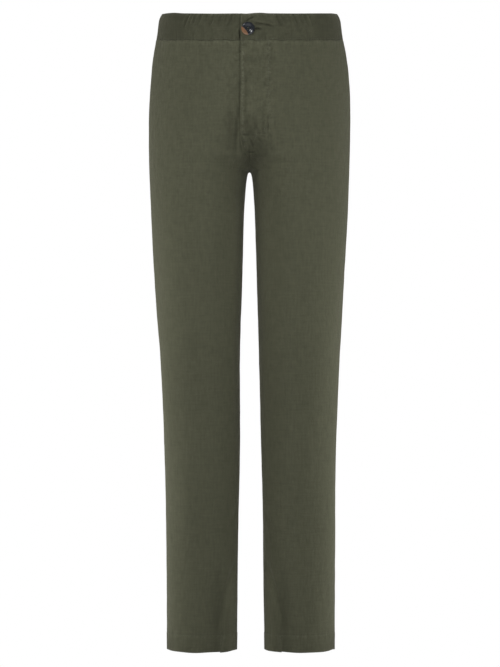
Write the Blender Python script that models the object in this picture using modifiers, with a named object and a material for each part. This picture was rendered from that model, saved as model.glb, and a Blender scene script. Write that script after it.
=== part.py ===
"""Linen trousers with a buttoned fly, hollow and filled out as if worn.

Units are metres. +Z is up, the front faces -Y and the wearer's left is +X.
The origin is the centre of the waist, halfway up the waistband.

Every piece of cloth is a loft through level outlines of half the garment. A place on
an outline is its distance from the centre seam (or, on a leg, from the innermost
point), measured along the cloth. A negative distance lies past the centre, on the other
half, or on a leg round its inner side, on the other face.
"""

import math
from collections import namedtuple
from functools import lru_cache

import bmesh
import bpy
import numpy as np

COLLECTION = "linen_trousers"
FRONT, BACK = -1, 1
LEFT, RIGHT = 1, -1

# Heights
BAND_TOP_Z = 0.022
WAIST_SEAM_Z = -0.022
CROTCH_Z = -0.2438
THIGH_Z = -0.400
HEM_Z = -1.0424
HEM_HEIGHT = 0.028

# Cloth: walls, hems and the gaps between pieces
WALL = 0.0015
HEM_WALL = 0.0026
HEM_STEP = 0.001
HEM_ROWS = 2
BAND_WALL = 0.0020
SEAM_GAP = 0.0003
HALF_GAP = SEAM_GAP / 2
WAIST_HALF_GAP = 0.0003
EDGE_COLUMN = 0.002

# The waist stands higher at the back, and the slope dies out down the hips.
WAIST_SLOPE = 0.123
SLOPE_END_Z = -0.160

# Outlines: how far the cloth reaches to the side, the front and the back, and how far
# both legs lean to the wearer's left
Section = namedtuple("Section", "z side front back lean")
SECTIONS = (
    Section(-1.0424, 0.1400, 0.0586, 0.0586, 0.0015),
    Section(-0.9600, 0.1410, 0.0600, 0.0610, 0.0016),
    Section(-0.8600, 0.1419, 0.0625, 0.0650, 0.0017),
    Section(-0.7600, 0.1429, 0.0660, 0.0700, 0.0014),
    Section(-0.6600, 0.1452, 0.0700, 0.0740, 0.0007),
    Section(-0.5600, 0.1495, 0.0755, 0.0775, -0.0004),
    Section(-0.4800, 0.1552, 0.0835, 0.0850, -0.0005),
    Section(-0.4000, 0.1601, 0.0940, 0.0955, -0.0003),
    Section(-0.3200, 0.1646, 0.1040, 0.1080, -0.0003),
    Section(-0.2500, 0.1677, 0.1125, 0.1220, -0.0004),
    Section(-0.2000, 0.1690, 0.1180, 0.1320, -0.0005),
    Section(-0.1500, 0.1686, 0.1205, 0.1340, -0.0004),
    Section(-0.1000, 0.1662, 0.1200, 0.1280, 0.0000),
    Section(-0.0600, 0.1624, 0.1180, 0.1185, 0.0000),
    Section(-0.0400, 0.1595, 0.1167, 0.1130, 0.0000),
    Section(-0.0220, 0.1556, 0.1150, 0.1080, 0.0000),
    Section(0.0000, 0.1522, 0.1138, 0.1062, 0.0000),
    Section(0.0220, 0.1492, 0.1125, 0.1045, 0.0000),
)
OUTLINE_STEPS = 40

# The front and back are flat near the centre at the waist, and round over each leg.
FLAT_HALF_WIDTH = 0.024
FLAT_END_Z = {FRONT: -0.060, BACK: -0.030}
ROUND_START_Z = {FRONT: -0.262, BACK: -0.225}

# The crotch seam: a quarter of a rounded square in front, of an ellipse behind, then
# two inseams
CROTCH_Y = 0.005
RISE_HEIGHT = {FRONT: 0.095, BACK: 0.135}
RISE_POWER = {FRONT: 2.5, BACK: 2.0}
INSEAM_CENTRED_Z = -0.500
HEM_HALF_SPACE = 0.0229
SPACE_POWER = 0.41
OPENING_DEPTH = 0.100
OPENING_POWER = 6
GENTLE_RISE = 0.25
SHARP_POWER = 5
CROTCH_FULLNESS = 2.0
LEG_FULLNESS = 2.2
FULLNESS_DEPTH = 0.120
FOLD_END = 0.6
HOLLOW_START = 0.35
HOLLOW_END = 0.8

# The legs twist inwards: both seams drift round each leg, most of all at the hem.
INSEAM_DRIFT = 0.060
SIDE_SEAM_DRIFT = 0.045
DRIFT_POWER = 1.25

# Fly: the left front laps over the right one, then both turn in to the crotch.
LAP = 0.015
UNDERLAP = 0.012
FLY_STITCH = 0.031
FLY_RAMP = 0.005
FLY_CLEARANCE = 0.0008
UNDERLAP_END_Z = -0.152
LAP_TURN_Z = -0.172
FLY_END_Z = -0.196
LAP_END_Z = -0.240
FLY_COLUMNS = (0.010, 0.020, FLY_STITCH, FLY_STITCH + FLY_RAMP)

# Waistband: its top edge rolls in, and its end laps over like the fly.
BAND_PROUD = 0.0005
BAND_ROWS = (0.0, 0.3, 0.6, 0.85, 1.0)
BAND_ROLL = 0.0042
ROLL_START = 0.60
ROLL_POWER = 2.5
BAND_LAP_FLAT = 0.019
BAND_LAP_RAMP = 0.010
BAND_LAP_RISE = 0.7

# Gathers: a run of small pleats from place to place; lean is how far their tops lean
Gathers = namedtuple("Gathers", "first last count depth lean")
FRONT_GATHERS = {
    LEFT: (Gathers(0.038, 0.112, 8, 0.0011, -0.002),),
    RIGHT: (
        Gathers(0.013, 0.046, 4, 0.0010, -0.001),
        Gathers(0.056, 0.113, 7, 0.0012, -0.003),
    ),
}
BACK_GATHERS = Gathers(0.006, 0.205, 18, 0.0015, 0.002)
SEAT_GATHERS = Gathers(0.010, 0.200, 5, 0.0022, 0.000)
SEAT_GATHERS_END_Z = -0.095
FRONT_GATHERS_START = 0.45
BACK_GATHERS_START = -0.2
GATHERS_FADE = 0.3
GATHER_COLUMNS = 4
GATHER_MARGIN = 0.004
GATHER_MEAN = 0.78
GATHER_SWING = 0.22
GATHER_TURN = 2.4
GATHER_SHIFT = 90.0

# The largest folds: troughs and ridges from (place, z) to (place, z)
Fold = namedtuple("Fold", "facing side start end width depth")
FOLDS = (
    # up and out from the crotch
    Fold(FRONT, RIGHT, (0.018, -0.230), (0.082, -0.186), 0.011, -0.0016),
    Fold(FRONT, LEFT, (0.020, -0.232), (0.088, -0.192), 0.011, -0.0014),
    Fold(FRONT, RIGHT, (0.034, -0.292), (0.120, -0.262), 0.013, -0.0010),
    Fold(FRONT, LEFT, (0.030, -0.298), (0.112, -0.272), 0.013, -0.0010),
    # over the knees
    Fold(FRONT, RIGHT, (0.014, -0.508), (0.118, -0.524), 0.014, -0.0013),
    Fold(FRONT, LEFT, (0.012, -0.524), (0.112, -0.506), 0.014, -0.0013),
    Fold(FRONT, RIGHT, (0.030, -0.556), (0.130, -0.548), 0.013, -0.0009),
    Fold(FRONT, LEFT, (0.034, -0.550), (0.126, -0.562), 0.013, -0.0009),
    # beside the inseams, down to the hems
    Fold(FRONT, RIGHT, (0.026, -0.885), (0.069, -1.008), 0.010, -0.0019),
    Fold(FRONT, LEFT, (0.027, -0.889), (0.068, -1.010), 0.010, -0.0019),
    # under the seat
    Fold(BACK, RIGHT, (0.026, -0.266), (0.130, -0.298), 0.012, -0.0030),
    Fold(BACK, LEFT, (0.030, -0.262), (0.140, -0.302), 0.012, -0.0032),
    Fold(BACK, RIGHT, (0.048, -0.304), (0.150, -0.322), 0.012, -0.0018),
    Fold(BACK, LEFT, (0.040, -0.300), (0.136, -0.326), 0.012, -0.0016),
    Fold(BACK, RIGHT, (0.014, -0.216), (0.074, -0.176), 0.012, -0.0016),
    Fold(BACK, LEFT, (0.014, -0.210), (0.068, -0.166), 0.012, -0.0018),
    # behind the knees
    Fold(BACK, RIGHT, (0.034, -0.520), (0.158, -0.506), 0.012, -0.0027),
    Fold(BACK, LEFT, (0.028, -0.510), (0.150, -0.526), 0.012, -0.0027),
    Fold(BACK, RIGHT, (0.028, -0.550), (0.146, -0.560), 0.012, -0.0020),
    Fold(BACK, LEFT, (0.040, -0.558), (0.158, -0.550), 0.012, -0.0021),
    # down the backs of the ankles
    Fold(BACK, RIGHT, (0.052, -0.905), (0.108, -1.000), 0.011, -0.0018),
    Fold(BACK, LEFT, (0.060, -0.895), (0.116, -0.992), 0.011, -0.0018),
)

# Mesh sizes: columns across each piece, rows down each stretch
PANEL_COLUMNS = {FRONT: 14, BACK: 17}
LEFT_FRONT_COLUMNS = 16
RISE_ROWS = 7
CROTCH_ROWS = 12
Rows = namedtuple("Rows", "end count")
LEG_ROWS = (Rows(-0.490, 4), Rows(-0.580, 7), Rows(-0.870, 6), Rows(HEM_Z + HEM_HEIGHT, 6))
ROW_CROWDING = 1.8
CROWDED_SHARE = 0.10
EVEN_SHARE = 0.9
BAND_COLUMN = 0.016

# Button
BUTTON_RADIUS = 0.011
BUTTON_PLACE = -0.0029
BUTTON_HEIGHT = 0.44
BUTTON_SEGMENTS = 28
BUTTON_PROFILE = (
    (0.0000, 0.0000),
    (0.0085, 0.0000),
    (0.0104, 0.0008),
    (0.0110, 0.0018),
    (0.0106, 0.0030),
    (0.0094, 0.0036),
    (0.0080, 0.0034),
    (0.0068, 0.0025),
    (0.0000, 0.0023),
)
HOLE_RADIUS = 0.0010
HOLE_OFFSET = 0.0018
HOLE_SEGMENTS = 10

LINEN_COLOUR = (0.076, 0.080, 0.050)
LINEN_ROUGHNESS = 0.85
BUTTON_COLOUR = (0.018, 0.017, 0.020)
BUTTON_ROUGHNESS = 0.25


def blend(start, end, share):
    return start + (end - start) * share


def ease(value, start, end):
    """0 at start and 1 at end, level at both."""
    share = np.clip((value - start) / (end - start), 0.0, 1.0)
    return share * share * (3.0 - 2.0 * share)


def smooth_column(name):
    """A smooth function of height through one column of SECTIONS."""
    heights = np.array([row.z for row in SECTIONS])
    values = np.array([getattr(row, name) for row in SECTIONS])
    slopes = np.gradient(values, heights)

    def at(z):
        i = int(np.clip(np.searchsorted(heights, z) - 1, 0, len(heights) - 2))
        step = heights[i + 1] - heights[i]
        t = float(np.clip((z - heights[i]) / step, 0.0, 1.0))
        near = (1 + 2 * t) * values[i] + t * step * slopes[i]
        far = (3 - 2 * t) * values[i + 1] + (t - 1) * step * slopes[i + 1]
        return (1 - t) ** 2 * near + t ** 2 * far

    return at


side_at = smooth_column("side")
lean_at = smooth_column("lean")
depth_at = {FRONT: smooth_column("front"), BACK: smooth_column("back")}


def half_space(z):
    """Half the space between the legs, never less than half a seam gap."""
    if z >= CROTCH_Z:
        return HALF_GAP
    share = (CROTCH_Z - z) / (CROTCH_Z - HEM_Z)
    return max(HEM_HALF_SPACE * share ** SPACE_POWER, HALF_GAP)


def broad_space(z):
    """The space as the broad flanks follow it, opening gently below the crotch."""
    return half_space(z) * ease(CROTCH_Z - z, 0.0, OPENING_DEPTH)


def rise_share(z, facing):
    """0 at the crotch and 1 where the centre seam meets the open front or back."""
    return float(np.clip((z - CROTCH_Z) / RISE_HEIGHT[facing], 0.0, 1.0))


def centre_y(z, facing, share):
    """Where the centre seam or, below the crotch, the inseam runs.

    Just above the crotch the cloth folds in under sharply only close to the seam
    (share 1), and gently further out.
    """
    if z < CROTCH_Z:
        return CROTCH_Y * (1.0 - ease(z, CROTCH_Z, INSEAM_CENTRED_Z))
    rise = rise_share(z, facing)
    power = RISE_POWER[facing]
    sharp = (1.0 - (1.0 - rise) ** power) ** (1.0 / power)
    gentle = math.sqrt(1.0 - (1.0 - rise) ** 2) * ease(rise, 0.0, GENTLE_RISE)
    reach = blend(gentle, sharp, share ** SHARP_POWER)
    return blend(CROTCH_Y, facing * depth_at[facing](z), reach)


def crest_x(z, facing):
    """How far out the cloth reaches furthest forward or back."""
    middle = (side_at(z) + broad_space(z)) / 2
    return blend(
        FLAT_HALF_WIDTH, middle, ease(z, FLAT_END_Z[facing], ROUND_START_Z[facing])
    )


def valley(share, z, facing):
    """The fall from the crest (share 0) to the centre (share 1), from 0 to 1.

    It is a soft hollow high on the rise, a V lower down, and round along the legs.
    """
    if z < CROTCH_Z:
        fullness = blend(
            CROTCH_FULLNESS, LEG_FULLNESS, ease(CROTCH_Z - z, 0.0, FULLNESS_DEPTH)
        )
        return 1.0 - (1.0 - share ** 2) ** (1.0 / fullness)
    rise = rise_share(z, facing)
    fullness = blend(CROTCH_FULLNESS, 1.0, ease(rise, 0.0, FOLD_END))
    fold = 1.0 - np.maximum(1.0 - share ** 2, 0.0) ** (1.0 / fullness)
    hollow = ease(share, 0.0, 1.0)
    return blend(fold, hollow, ease(rise, HOLLOW_START, HOLLOW_END))


class Outline:
    """Half of the level outline at height z, from the centre to the side seam."""

    def __init__(self, z, facing):
        self.z = z
        turn = np.linspace(0.0, math.pi / 2, OUTLINE_STEPS)
        crest = crest_x(z, facing)
        depth = facing * depth_at[facing](z)
        share = np.cos(turn)
        opening = (half_space(z) - broad_space(z)) * share ** OPENING_POWER
        inner_x = blend(crest, broad_space(z), share) + opening
        inner_y = blend(depth, centre_y(z, facing, share), valley(share, z, facing))
        outer_x = blend(crest, side_at(z), np.sin(turn))
        outer_y = depth * np.cos(turn)
        self.points = np.stack(
            [
                np.concatenate([inner_x, outer_x[1:]]),
                np.concatenate([inner_y, outer_y[1:]]),
            ],
            axis=1,
        )
        steps = np.diff(self.points, axis=0)
        lengths = np.hypot(steps[:, 0], steps[:, 1])
        self.places = np.concatenate([[0.0], np.cumsum(lengths)])
        self.length = self.places[-1]
        along = np.gradient(self.points, self.places, axis=0)
        along /= np.hypot(along[:, 0], along[:, 1])[:, None]
        self.outward = np.stack([along[:, 1], -along[:, 0]], axis=1) * -facing

    def at(self, place, lift=0.0):
        """The point at a distance from the centre, lifted off the outline."""
        x, y, out_x, out_y = (
            np.interp(abs(place), self.places, values)
            for values in (*self.points.T, *self.outward.T)
        )
        side = 1.0 if place >= 0.0 else -1.0
        size = math.hypot(out_x, out_y)
        return side * (x + lift * out_x / size), y + lift * out_y / size


@lru_cache(maxsize=None)
def outline_at(z, facing):
    return Outline(z, facing)


def spot(z, facing, place, lift=0.0):
    """x and y at a place of the level outline at z, lifted off it.

    Past the side seam, and on a leg past its innermost point, it goes on round.
    """
    near, far = outline_at(z, facing), outline_at(z, -facing)
    if place > near.length:
        return far.at(far.length + near.length - place, lift)
    if place < 0.0 and z < CROTCH_Z:
        return far.at(-place, lift)
    return near.at(place, lift)


def drift(z, far):
    """How far a seam has drifted round the leg at z; far is its drift at the hem."""
    share = np.clip((THIGH_Z - z) / (THIGH_Z - HEM_Z), 0.0, 1.0)
    return far * share ** DRIFT_POWER


def sloped(z, y):
    """The height of a point of the outline at z, once the waist is sloped."""
    return z + WAIST_SLOPE * y * (1.0 - ease(z, WAIST_SEAM_Z, SLOPE_END_Z))


def panel_rows():
    """Heights of a panel's rows at the side seam, from the waist down."""
    rows = [
        np.linspace(WAIST_SEAM_Z - WAIST_HALF_GAP, UNDERLAP_END_Z, RISE_ROWS),
        [LAP_TURN_Z],
        np.linspace(FLY_END_Z, THIGH_Z, CROTCH_ROWS),
    ]
    for stretch in LEG_ROWS:
        rows.append(np.linspace(rows[-1][-1], stretch.end, stretch.count + 1)[1:])
    rows.append([rows[-1][-1] - HEM_STEP, HEM_Z])
    return np.concatenate(rows)


def crowded(z):
    """A row's height at the centre: rows crowd together round the crotch point."""
    if not THIGH_Z < z < FLY_END_Z:
        return z
    middle = (FLY_END_Z + THIGH_Z) / 2
    end = FLY_END_Z if z > middle else THIGH_Z
    share = (z - middle) / (end - middle)
    return blend(CROTCH_Z, end, share ** ROW_CROWDING)


def row_height(z, share):
    """A row's height at a share of the way from the centre to the side seam."""
    return blend(crowded(z), z, ease(share, CROWDED_SHARE, EVEN_SHARE))


def lap_place(z):
    """Where the left front's edge lies, past the centre along the fly."""
    return -LAP * (1.0 - ease(z, FLY_END_Z, LAP_END_Z))


def underlap_place(z):
    """Where the right front's edge lies, under the fly and then beside it."""
    under = 1.0 - ease(z, UNDERLAP_END_Z, LAP_TURN_Z)
    return blend(HALF_GAP - lap_place(z), -UNDERLAP, under)


def fly_lift(place, z):
    """How far the fly stands off the front that it laps over."""
    across = 1.0 - ease(place, FLY_STITCH, FLY_STITCH + FLY_RAMP)
    down = 1.0 - ease(z, LAP_TURN_Z, FLY_END_Z)
    return (WALL + FLY_CLEARANCE) * across * down


def ripple(place, share, gathers):
    """The outward wave of a run of gathers, leaning as it goes up the cloth."""
    phase = (place - gathers.lean * share - gathers.first) / (gathers.last - gathers.first)
    if not 0.0 < phase < 1.0:
        return 0.0
    turns = phase * gathers.count
    swing = math.sin(GATHER_TURN * math.floor(turns) + GATHER_SHIFT * gathers.last)
    height = gathers.depth * (GATHER_MEAN + GATHER_SWING * swing)
    return height * (1.0 - math.cos(2 * math.pi * turns)) / 2


def seat_ripple(place, z):
    """Soft gathers that run down from the back waistband."""
    fade = 1.0 - ease(z, WAIST_SEAM_Z, SEAT_GATHERS_END_Z)
    return ripple(place, 0.0, SEAT_GATHERS) * fade


def fold_lift(fold, place, z):
    """The lift that one fold gives: round across it, and fading out at both ends."""
    (start, top), (end, foot) = fold.start, fold.end
    length = math.hypot(end - start, foot - top)
    along_place, along_z = (end - start) / length, (foot - top) / length
    down = (place - start) * along_place + (z - top) * along_z
    off = (z - top) * along_place - (place - start) * along_z
    share = min(max(down / length, 0.0), 1.0)
    fade = math.sqrt(4.0 * share * (1.0 - share))
    return fold.depth * fade * math.exp(-((off / fold.width) ** 2))


def folds_lift(facing, side, place, z):
    """The lift of all folds at a place, also of those that come round from behind."""
    lengths = outline_at(z, facing).length + outline_at(z, -facing).length
    spots = {(facing, place), (-facing, lengths - place)}
    if z < CROTCH_Z:
        spots.add((-facing, -place))
    return sum(
        fold_lift(fold, at, z)
        for face, at in spots
        for fold in FOLDS
        if (fold.facing, fold.side) == (face, side)
    )


def even_places(start, end, count):
    """Places across a row, with one close to each edge."""
    inner = np.linspace(start + EDGE_COLUMN, end - EDGE_COLUMN, count - 2)
    return np.concatenate([[start], inner, [end]])


def left_front_places(z, length):
    """Places that follow the fly, and are even on the leg."""
    start = lap_place(z) + HALF_GAP + drift(z, INSEAM_DRIFT)
    end = length - HALF_GAP + drift(z, SIDE_SEAM_DRIFT)
    even = even_places(start, end, LEFT_FRONT_COLUMNS)
    lap = [start, start / 2, 0.0]
    rest = LEFT_FRONT_COLUMNS - len(lap) - len(FLY_COLUMNS) - 1
    spread = np.linspace(FLY_COLUMNS[-1], end - EDGE_COLUMN, rest + 1)[1:]
    fly = np.concatenate([lap, FLY_COLUMNS, spread, [end]])
    return blend(even, fly, ease(z, CROTCH_Z, FLY_END_Z))


def right_front_places(z, length):
    start = underlap_place(z) + drift(z, INSEAM_DRIFT)
    end = length - HALF_GAP + drift(z, SIDE_SEAM_DRIFT)
    return even_places(start, end, PANEL_COLUMNS[FRONT])


def back_places(z, length):
    start = HALF_GAP - drift(z, INSEAM_DRIFT)
    end = length - HALF_GAP - drift(z, SIDE_SEAM_DRIFT)
    return even_places(start, end, PANEL_COLUMNS[BACK])


def panel_grid(facing, side, places_at, lift_at):
    """Rows of (x, y, z) points of one leg panel."""
    grid = []
    for z in panel_rows():
        centre = outline_at(crowded(z), facing)
        row = []
        for place in places_at(crowded(z), centre.length):
            share = place / centre.length
            height = row_height(z, share)
            place += (outline_at(height, facing).length - centre.length) * share
            lift = lift_at(place, height) + folds_lift(facing, side, place, height)
            x, y = spot(height, facing, place, lift)
            row.append((side * x + lean_at(height), y, sloped(height, y)))
        grid.append(row)
    return grid


def band_grid(facing, places, lift_at, rise_at=lambda place: 0.0):
    """Rows of (x, y, z) points of half a waistband, from the seam up."""
    grid = []
    for share in BAND_ROWS:
        z = blend(WAIST_SEAM_Z + WAIST_HALF_GAP, BAND_TOP_Z, share)
        outline = outline_at(z, facing)
        rolled = max((share - ROLL_START) / (1.0 - ROLL_START), 0.0)
        row = []
        for place in places * (outline.length - HALF_GAP) / places[-1]:
            lift = BAND_PROUD - BAND_ROLL * rolled ** ROLL_POWER + lift_at(place, share)
            x, y = outline.at(place, lift)
            row.append((x, y, z + WAIST_SLOPE * y + rise_at(place) * rolled))
        grid.append(row)
    return grid


def band_places(facing, start, runs):
    """Places across half a band: coarse, and fine where it is gathered."""
    length = outline_at(0.0, facing).length - HALF_GAP
    coarse = even_places(start, length, round((length - start) / BAND_COLUMN) + 2)
    fine = [
        np.linspace(run.first, run.last, run.count * GATHER_COLUMNS + 1) for run in runs
    ]
    clear = [
        place
        for place in coarse
        if all(
            place < run.first - GATHER_MARGIN or place > run.last + GATHER_MARGIN
            for run in runs
        )
    ]
    return np.sort(np.concatenate([clear, *fine]))


def band_lap_lift(place):
    """How far the left band's end stands off the right band's end beneath it."""
    flat = 1.0 - ease(place, BAND_LAP_FLAT, BAND_LAP_FLAT + BAND_LAP_RAMP)
    return (BAND_WALL + SEAM_GAP) * flat


def material(name, colour, roughness):
    """A plain Principled material."""
    shade = bpy.data.materials.new(name)
    shade.use_nodes = True
    shader = shade.node_tree.nodes["Principled BSDF"]
    shader.inputs["Base Color"].default_value = (*colour, 1.0)
    shader.inputs["Roughness"].default_value = roughness
    shader.inputs["Metallic"].default_value = 0.0
    shade.diffuse_color = (*colour, 1.0)
    return shade


def cloth_object(name, grid, wall, outward_first, hemmed=False):
    """A wall of cloth: a sheet lofted through the rows, thickened inwards."""
    points = np.array(grid)
    rows, columns = points.shape[:2]
    mesh = bpy.data.meshes.new(name)
    sheet = bmesh.new()
    corners = [[sheet.verts.new(point) for point in row] for row in points]
    for upper, lower in zip(corners, corners[1:]):
        for i in range(columns - 1):
            face = [upper[i], lower[i], lower[i + 1], upper[i + 1]]
            sheet.faces.new(face if outward_first else face[::-1])
    sheet.to_mesh(mesh)
    sheet.free()
    mesh.shade_smooth()
    cloth = bpy.data.objects.new(name, mesh)
    solidify = cloth.modifiers.new("wall", "SOLIDIFY")
    solidify.thickness = wall
    solidify.offset = -1.0
    if hemmed:
        hem = cloth.vertex_groups.new(name="hem")
        for row in range(rows):
            weight = 1.0 if row >= rows - HEM_ROWS else WALL / wall
            hem.add(range(row * columns, (row + 1) * columns), weight, "REPLACE")
        solidify.vertex_group = hem.name
    cloth.data.materials.append(material(name + "_linen", LINEN_COLOUR, LINEN_ROUGHNESS))
    return cloth


def mirrored(grid):
    return [[(-x, y, z) for x, y, z in row] for row in grid]


def panels():
    """The four leg panels."""
    kinds = (
        ("front_left", FRONT, LEFT, left_front_places, fly_lift),
        ("front_right", FRONT, RIGHT, right_front_places, lambda place, z: 0.0),
        ("back_left", BACK, LEFT, back_places, seat_ripple),
        ("back_right", BACK, RIGHT, back_places, seat_ripple),
    )
    return [
        cloth_object(
            name,
            panel_grid(facing, side, places_at, lift_at),
            HEM_WALL,
            outward_first=(facing == FRONT) == (side == LEFT),
            hemmed=True,
        )
        for name, facing, side, places_at, lift_at in kinds
    ]


def waistbands():
    """Two front bands, whose ends lap at the button, and one gathered back band."""

    def front_grid(side, start):
        runs = FRONT_GATHERS[side]

        def lift_at(place, share):
            waves = sum(ripple(place, share, run) for run in runs)
            waves *= ease(share, FRONT_GATHERS_START, FRONT_GATHERS_START + GATHERS_FADE)
            return waves + (band_lap_lift(place) if side == LEFT else 0.0)

        def rise_at(place):
            return BAND_LAP_RISE * band_lap_lift(place) if side == LEFT else 0.0

        return band_grid(FRONT, band_places(FRONT, start, runs), lift_at, rise_at)

    def back_lift(place, share):
        fade = ease(share, BACK_GATHERS_START, GATHERS_FADE)
        return ripple(place, share, BACK_GATHERS) * fade

    left = front_grid(LEFT, -LAP)
    right = mirrored(front_grid(RIGHT, -UNDERLAP))
    half = band_grid(BACK, band_places(BACK, 0.0, (BACK_GATHERS,)), back_lift)
    whole = [
        far[:0:-1] + near for far, near in zip(mirrored(half), half)
    ]
    return [
        cloth_object("waistband_left", left, BAND_WALL, False),
        cloth_object("waistband_right", right, BAND_WALL, True),
        cloth_object("waistband_back", whole, BAND_WALL, True),
    ]


def turned(name, profile, segments):
    """A solid turned about Z from a profile of (radius, height)."""
    mesh = bpy.data.meshes.new(name)
    outline = bmesh.new()
    corners = [outline.verts.new((radius, 0.0, height)) for radius, height in profile]
    for pair in zip(corners, corners[1:]):
        outline.edges.new(pair)
    outline.to_mesh(mesh)
    outline.free()
    solid = bpy.data.objects.new(name, mesh)
    screw = solid.modifiers.new("turn", "SCREW")
    screw.steps = segments
    screw.render_steps = segments
    screw.use_merge_vertices = True
    screw.merge_threshold = 0.00001
    return solid


def button(cutters):
    """A four-hole button on the lapped end of the waistband."""
    name = "button"
    outline = outline_at(blend(WAIST_SEAM_Z, BAND_TOP_Z, BUTTON_HEIGHT), FRONT)
    lift = BAND_PROUD + band_lap_lift(BUTTON_PLACE) + SEAM_GAP
    x, y = outline.at(BUTTON_PLACE, lift)
    lean = math.atan2(SECTIONS[-3].front - SECTIONS[-1].front, BAND_TOP_Z - WAIST_SEAM_Z)
    solid = turned(name, BUTTON_PROFILE[::-1], BUTTON_SEGMENTS)
    solid.location = (x, y, outline.z + WAIST_SLOPE * y)
    solid.rotation_euler = (math.pi / 2 - lean, 0.0, 0.0)
    for i in range(4):
        angle = math.pi / 4 + i * math.pi / 2
        bpy.ops.mesh.primitive_cylinder_add(
            vertices=HOLE_SEGMENTS,
            radius=HOLE_RADIUS,
            depth=4 * BUTTON_RADIUS,
            location=(HOLE_OFFSET * math.cos(angle), HOLE_OFFSET * math.sin(angle), 0.0),
        )
        hole = bpy.context.object
        hole.name = f"hole_{i + 1}"
        hole.parent = solid
        hole.hide_render = True
        hole.display_type = "WIRE"
        for collection in hole.users_collection:
            collection.objects.unlink(hole)
        cutters.objects.link(hole)
        cut = solid.modifiers.new(hole.name, "BOOLEAN")
        cut.operation = "DIFFERENCE"
        cut.object = hole
    solid.data.materials.append(material(name + "_resin", BUTTON_COLOUR, BUTTON_ROUGHNESS))
    return solid


def collection(name):
    group = bpy.data.collections.new(name)
    bpy.context.scene.collection.children.link(group)
    return group


def main():
    for existing in list(bpy.data.objects):
        bpy.data.objects.remove(existing, do_unlink=True)
    parts = collection(COLLECTION)
    cutters = collection("cutters")
    for piece in [*panels(), *waistbands(), button(cutters)]:
        parts.objects.link(piece)


main()
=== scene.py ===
"""Linen trousers, filled out as if worn: cloth, sewing, button and a plain studio.

Units are metres. +Z is up, the front faces -Y and the wearer's left is +X, as in the
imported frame. A place on the cloth is its distance from the centre seam or, on a leg,
from the innermost point, measured along a level outline. A negative place lies past the
centre, on the other half, or on a leg round its inner side, on the other face.
"""

import math
from collections import namedtuple
from functools import lru_cache

import bmesh
import bpy
import numpy as np
from bpy.props import FloatProperty, FloatVectorProperty, IntProperty, PointerProperty
from mathutils import Matrix, Vector


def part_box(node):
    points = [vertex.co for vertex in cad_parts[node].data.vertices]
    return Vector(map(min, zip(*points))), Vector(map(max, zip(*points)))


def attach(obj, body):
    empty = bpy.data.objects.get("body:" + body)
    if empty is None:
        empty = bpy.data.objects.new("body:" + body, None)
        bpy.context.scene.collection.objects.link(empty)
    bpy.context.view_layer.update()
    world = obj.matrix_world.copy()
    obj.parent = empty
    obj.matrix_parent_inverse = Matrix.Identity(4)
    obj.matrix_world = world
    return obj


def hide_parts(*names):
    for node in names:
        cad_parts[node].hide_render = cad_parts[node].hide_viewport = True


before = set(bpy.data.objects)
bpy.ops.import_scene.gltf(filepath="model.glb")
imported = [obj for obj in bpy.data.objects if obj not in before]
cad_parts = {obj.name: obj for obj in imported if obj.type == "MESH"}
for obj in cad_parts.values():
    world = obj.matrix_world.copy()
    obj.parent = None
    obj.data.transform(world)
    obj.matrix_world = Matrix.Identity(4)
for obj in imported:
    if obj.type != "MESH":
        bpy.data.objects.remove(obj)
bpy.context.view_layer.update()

bl_info = {
    "name": "Linen Trousers",
    "version": (1, 0, 0),
    "blender": (4, 5, 0),
    "location": "3D View > Sidebar > Trousers",
    "description": "Sews linen trousers with a buttoned fly and a gathered waistband",
    "category": "Add Mesh",
}

BODY = "root"
FRONT, BACK = -1, 1
LEFT, RIGHT = 1, -1
SIDES = (("left", LEFT), ("right", RIGHT))
FACES = (("front", FRONT), ("back", BACK))

# Heights, from the frame where it has them
BAND_TOP_Z = 0.022
WAIST_SEAM_Z = -0.022
BAND_HEIGHT = BAND_TOP_Z - WAIST_SEAM_Z
CROTCH_Z = -0.2438
THIGH_Z = -0.400
HEM_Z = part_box("front_left")[0][2]
HEM_HEIGHT = 0.028

# Cloth and its edges
WALL = 0.0015
HEM_WALL = 0.0024
BAND_WALL = 0.0020
WAIST_OVERLAP = 0.0005
SEAM_OVERLAP = 0.0003
WAIST_SLOPE = 0.123
SLOPE_END_Z = -0.160

# Outlines: how far the cloth reaches to the side, the front and the back, and how far
# both legs lean to the wearer's left
Section = namedtuple("Section", "z side front back lean")
SECTIONS = (
    Section(-1.0424, 0.1400, 0.0586, 0.0586, 0.0015),
    Section(-0.9600, 0.1410, 0.0600, 0.0610, 0.0016),
    Section(-0.8600, 0.1419, 0.0625, 0.0650, 0.0017),
    Section(-0.7600, 0.1429, 0.0660, 0.0700, 0.0014),
    Section(-0.6600, 0.1452, 0.0700, 0.0740, 0.0007),
    Section(-0.5600, 0.1495, 0.0755, 0.0775, -0.0004),
    Section(-0.4800, 0.1552, 0.0835, 0.0850, -0.0005),
    Section(-0.4000, 0.1601, 0.0940, 0.0955, -0.0003),
    Section(-0.3200, 0.1646, 0.1040, 0.1080, -0.0003),
    Section(-0.2500, 0.1677, 0.1125, 0.1220, -0.0004),
    Section(-0.2000, 0.1690, 0.1180, 0.1320, -0.0005),
    Section(-0.1500, 0.1686, 0.1205, 0.1340, -0.0004),
    Section(-0.1000, 0.1662, 0.1200, 0.1280, 0.0000),
    Section(-0.0600, 0.1624, 0.1180, 0.1185, 0.0000),
    Section(-0.0400, 0.1595, 0.1167, 0.1130, 0.0000),
    Section(-0.0220, 0.1556, 0.1150, 0.1080, 0.0000),
    Section(0.0000, 0.1522, 0.1138, 0.1062, 0.0000),
    Section(0.0220, 0.1492, 0.1125, 0.1045, 0.0000),
)
OUTLINE_STEPS = 96
OUTLINES_KEPT = 40000
GRAIN_X = 0.083
FLAT_HALF_WIDTH = 0.024
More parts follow.
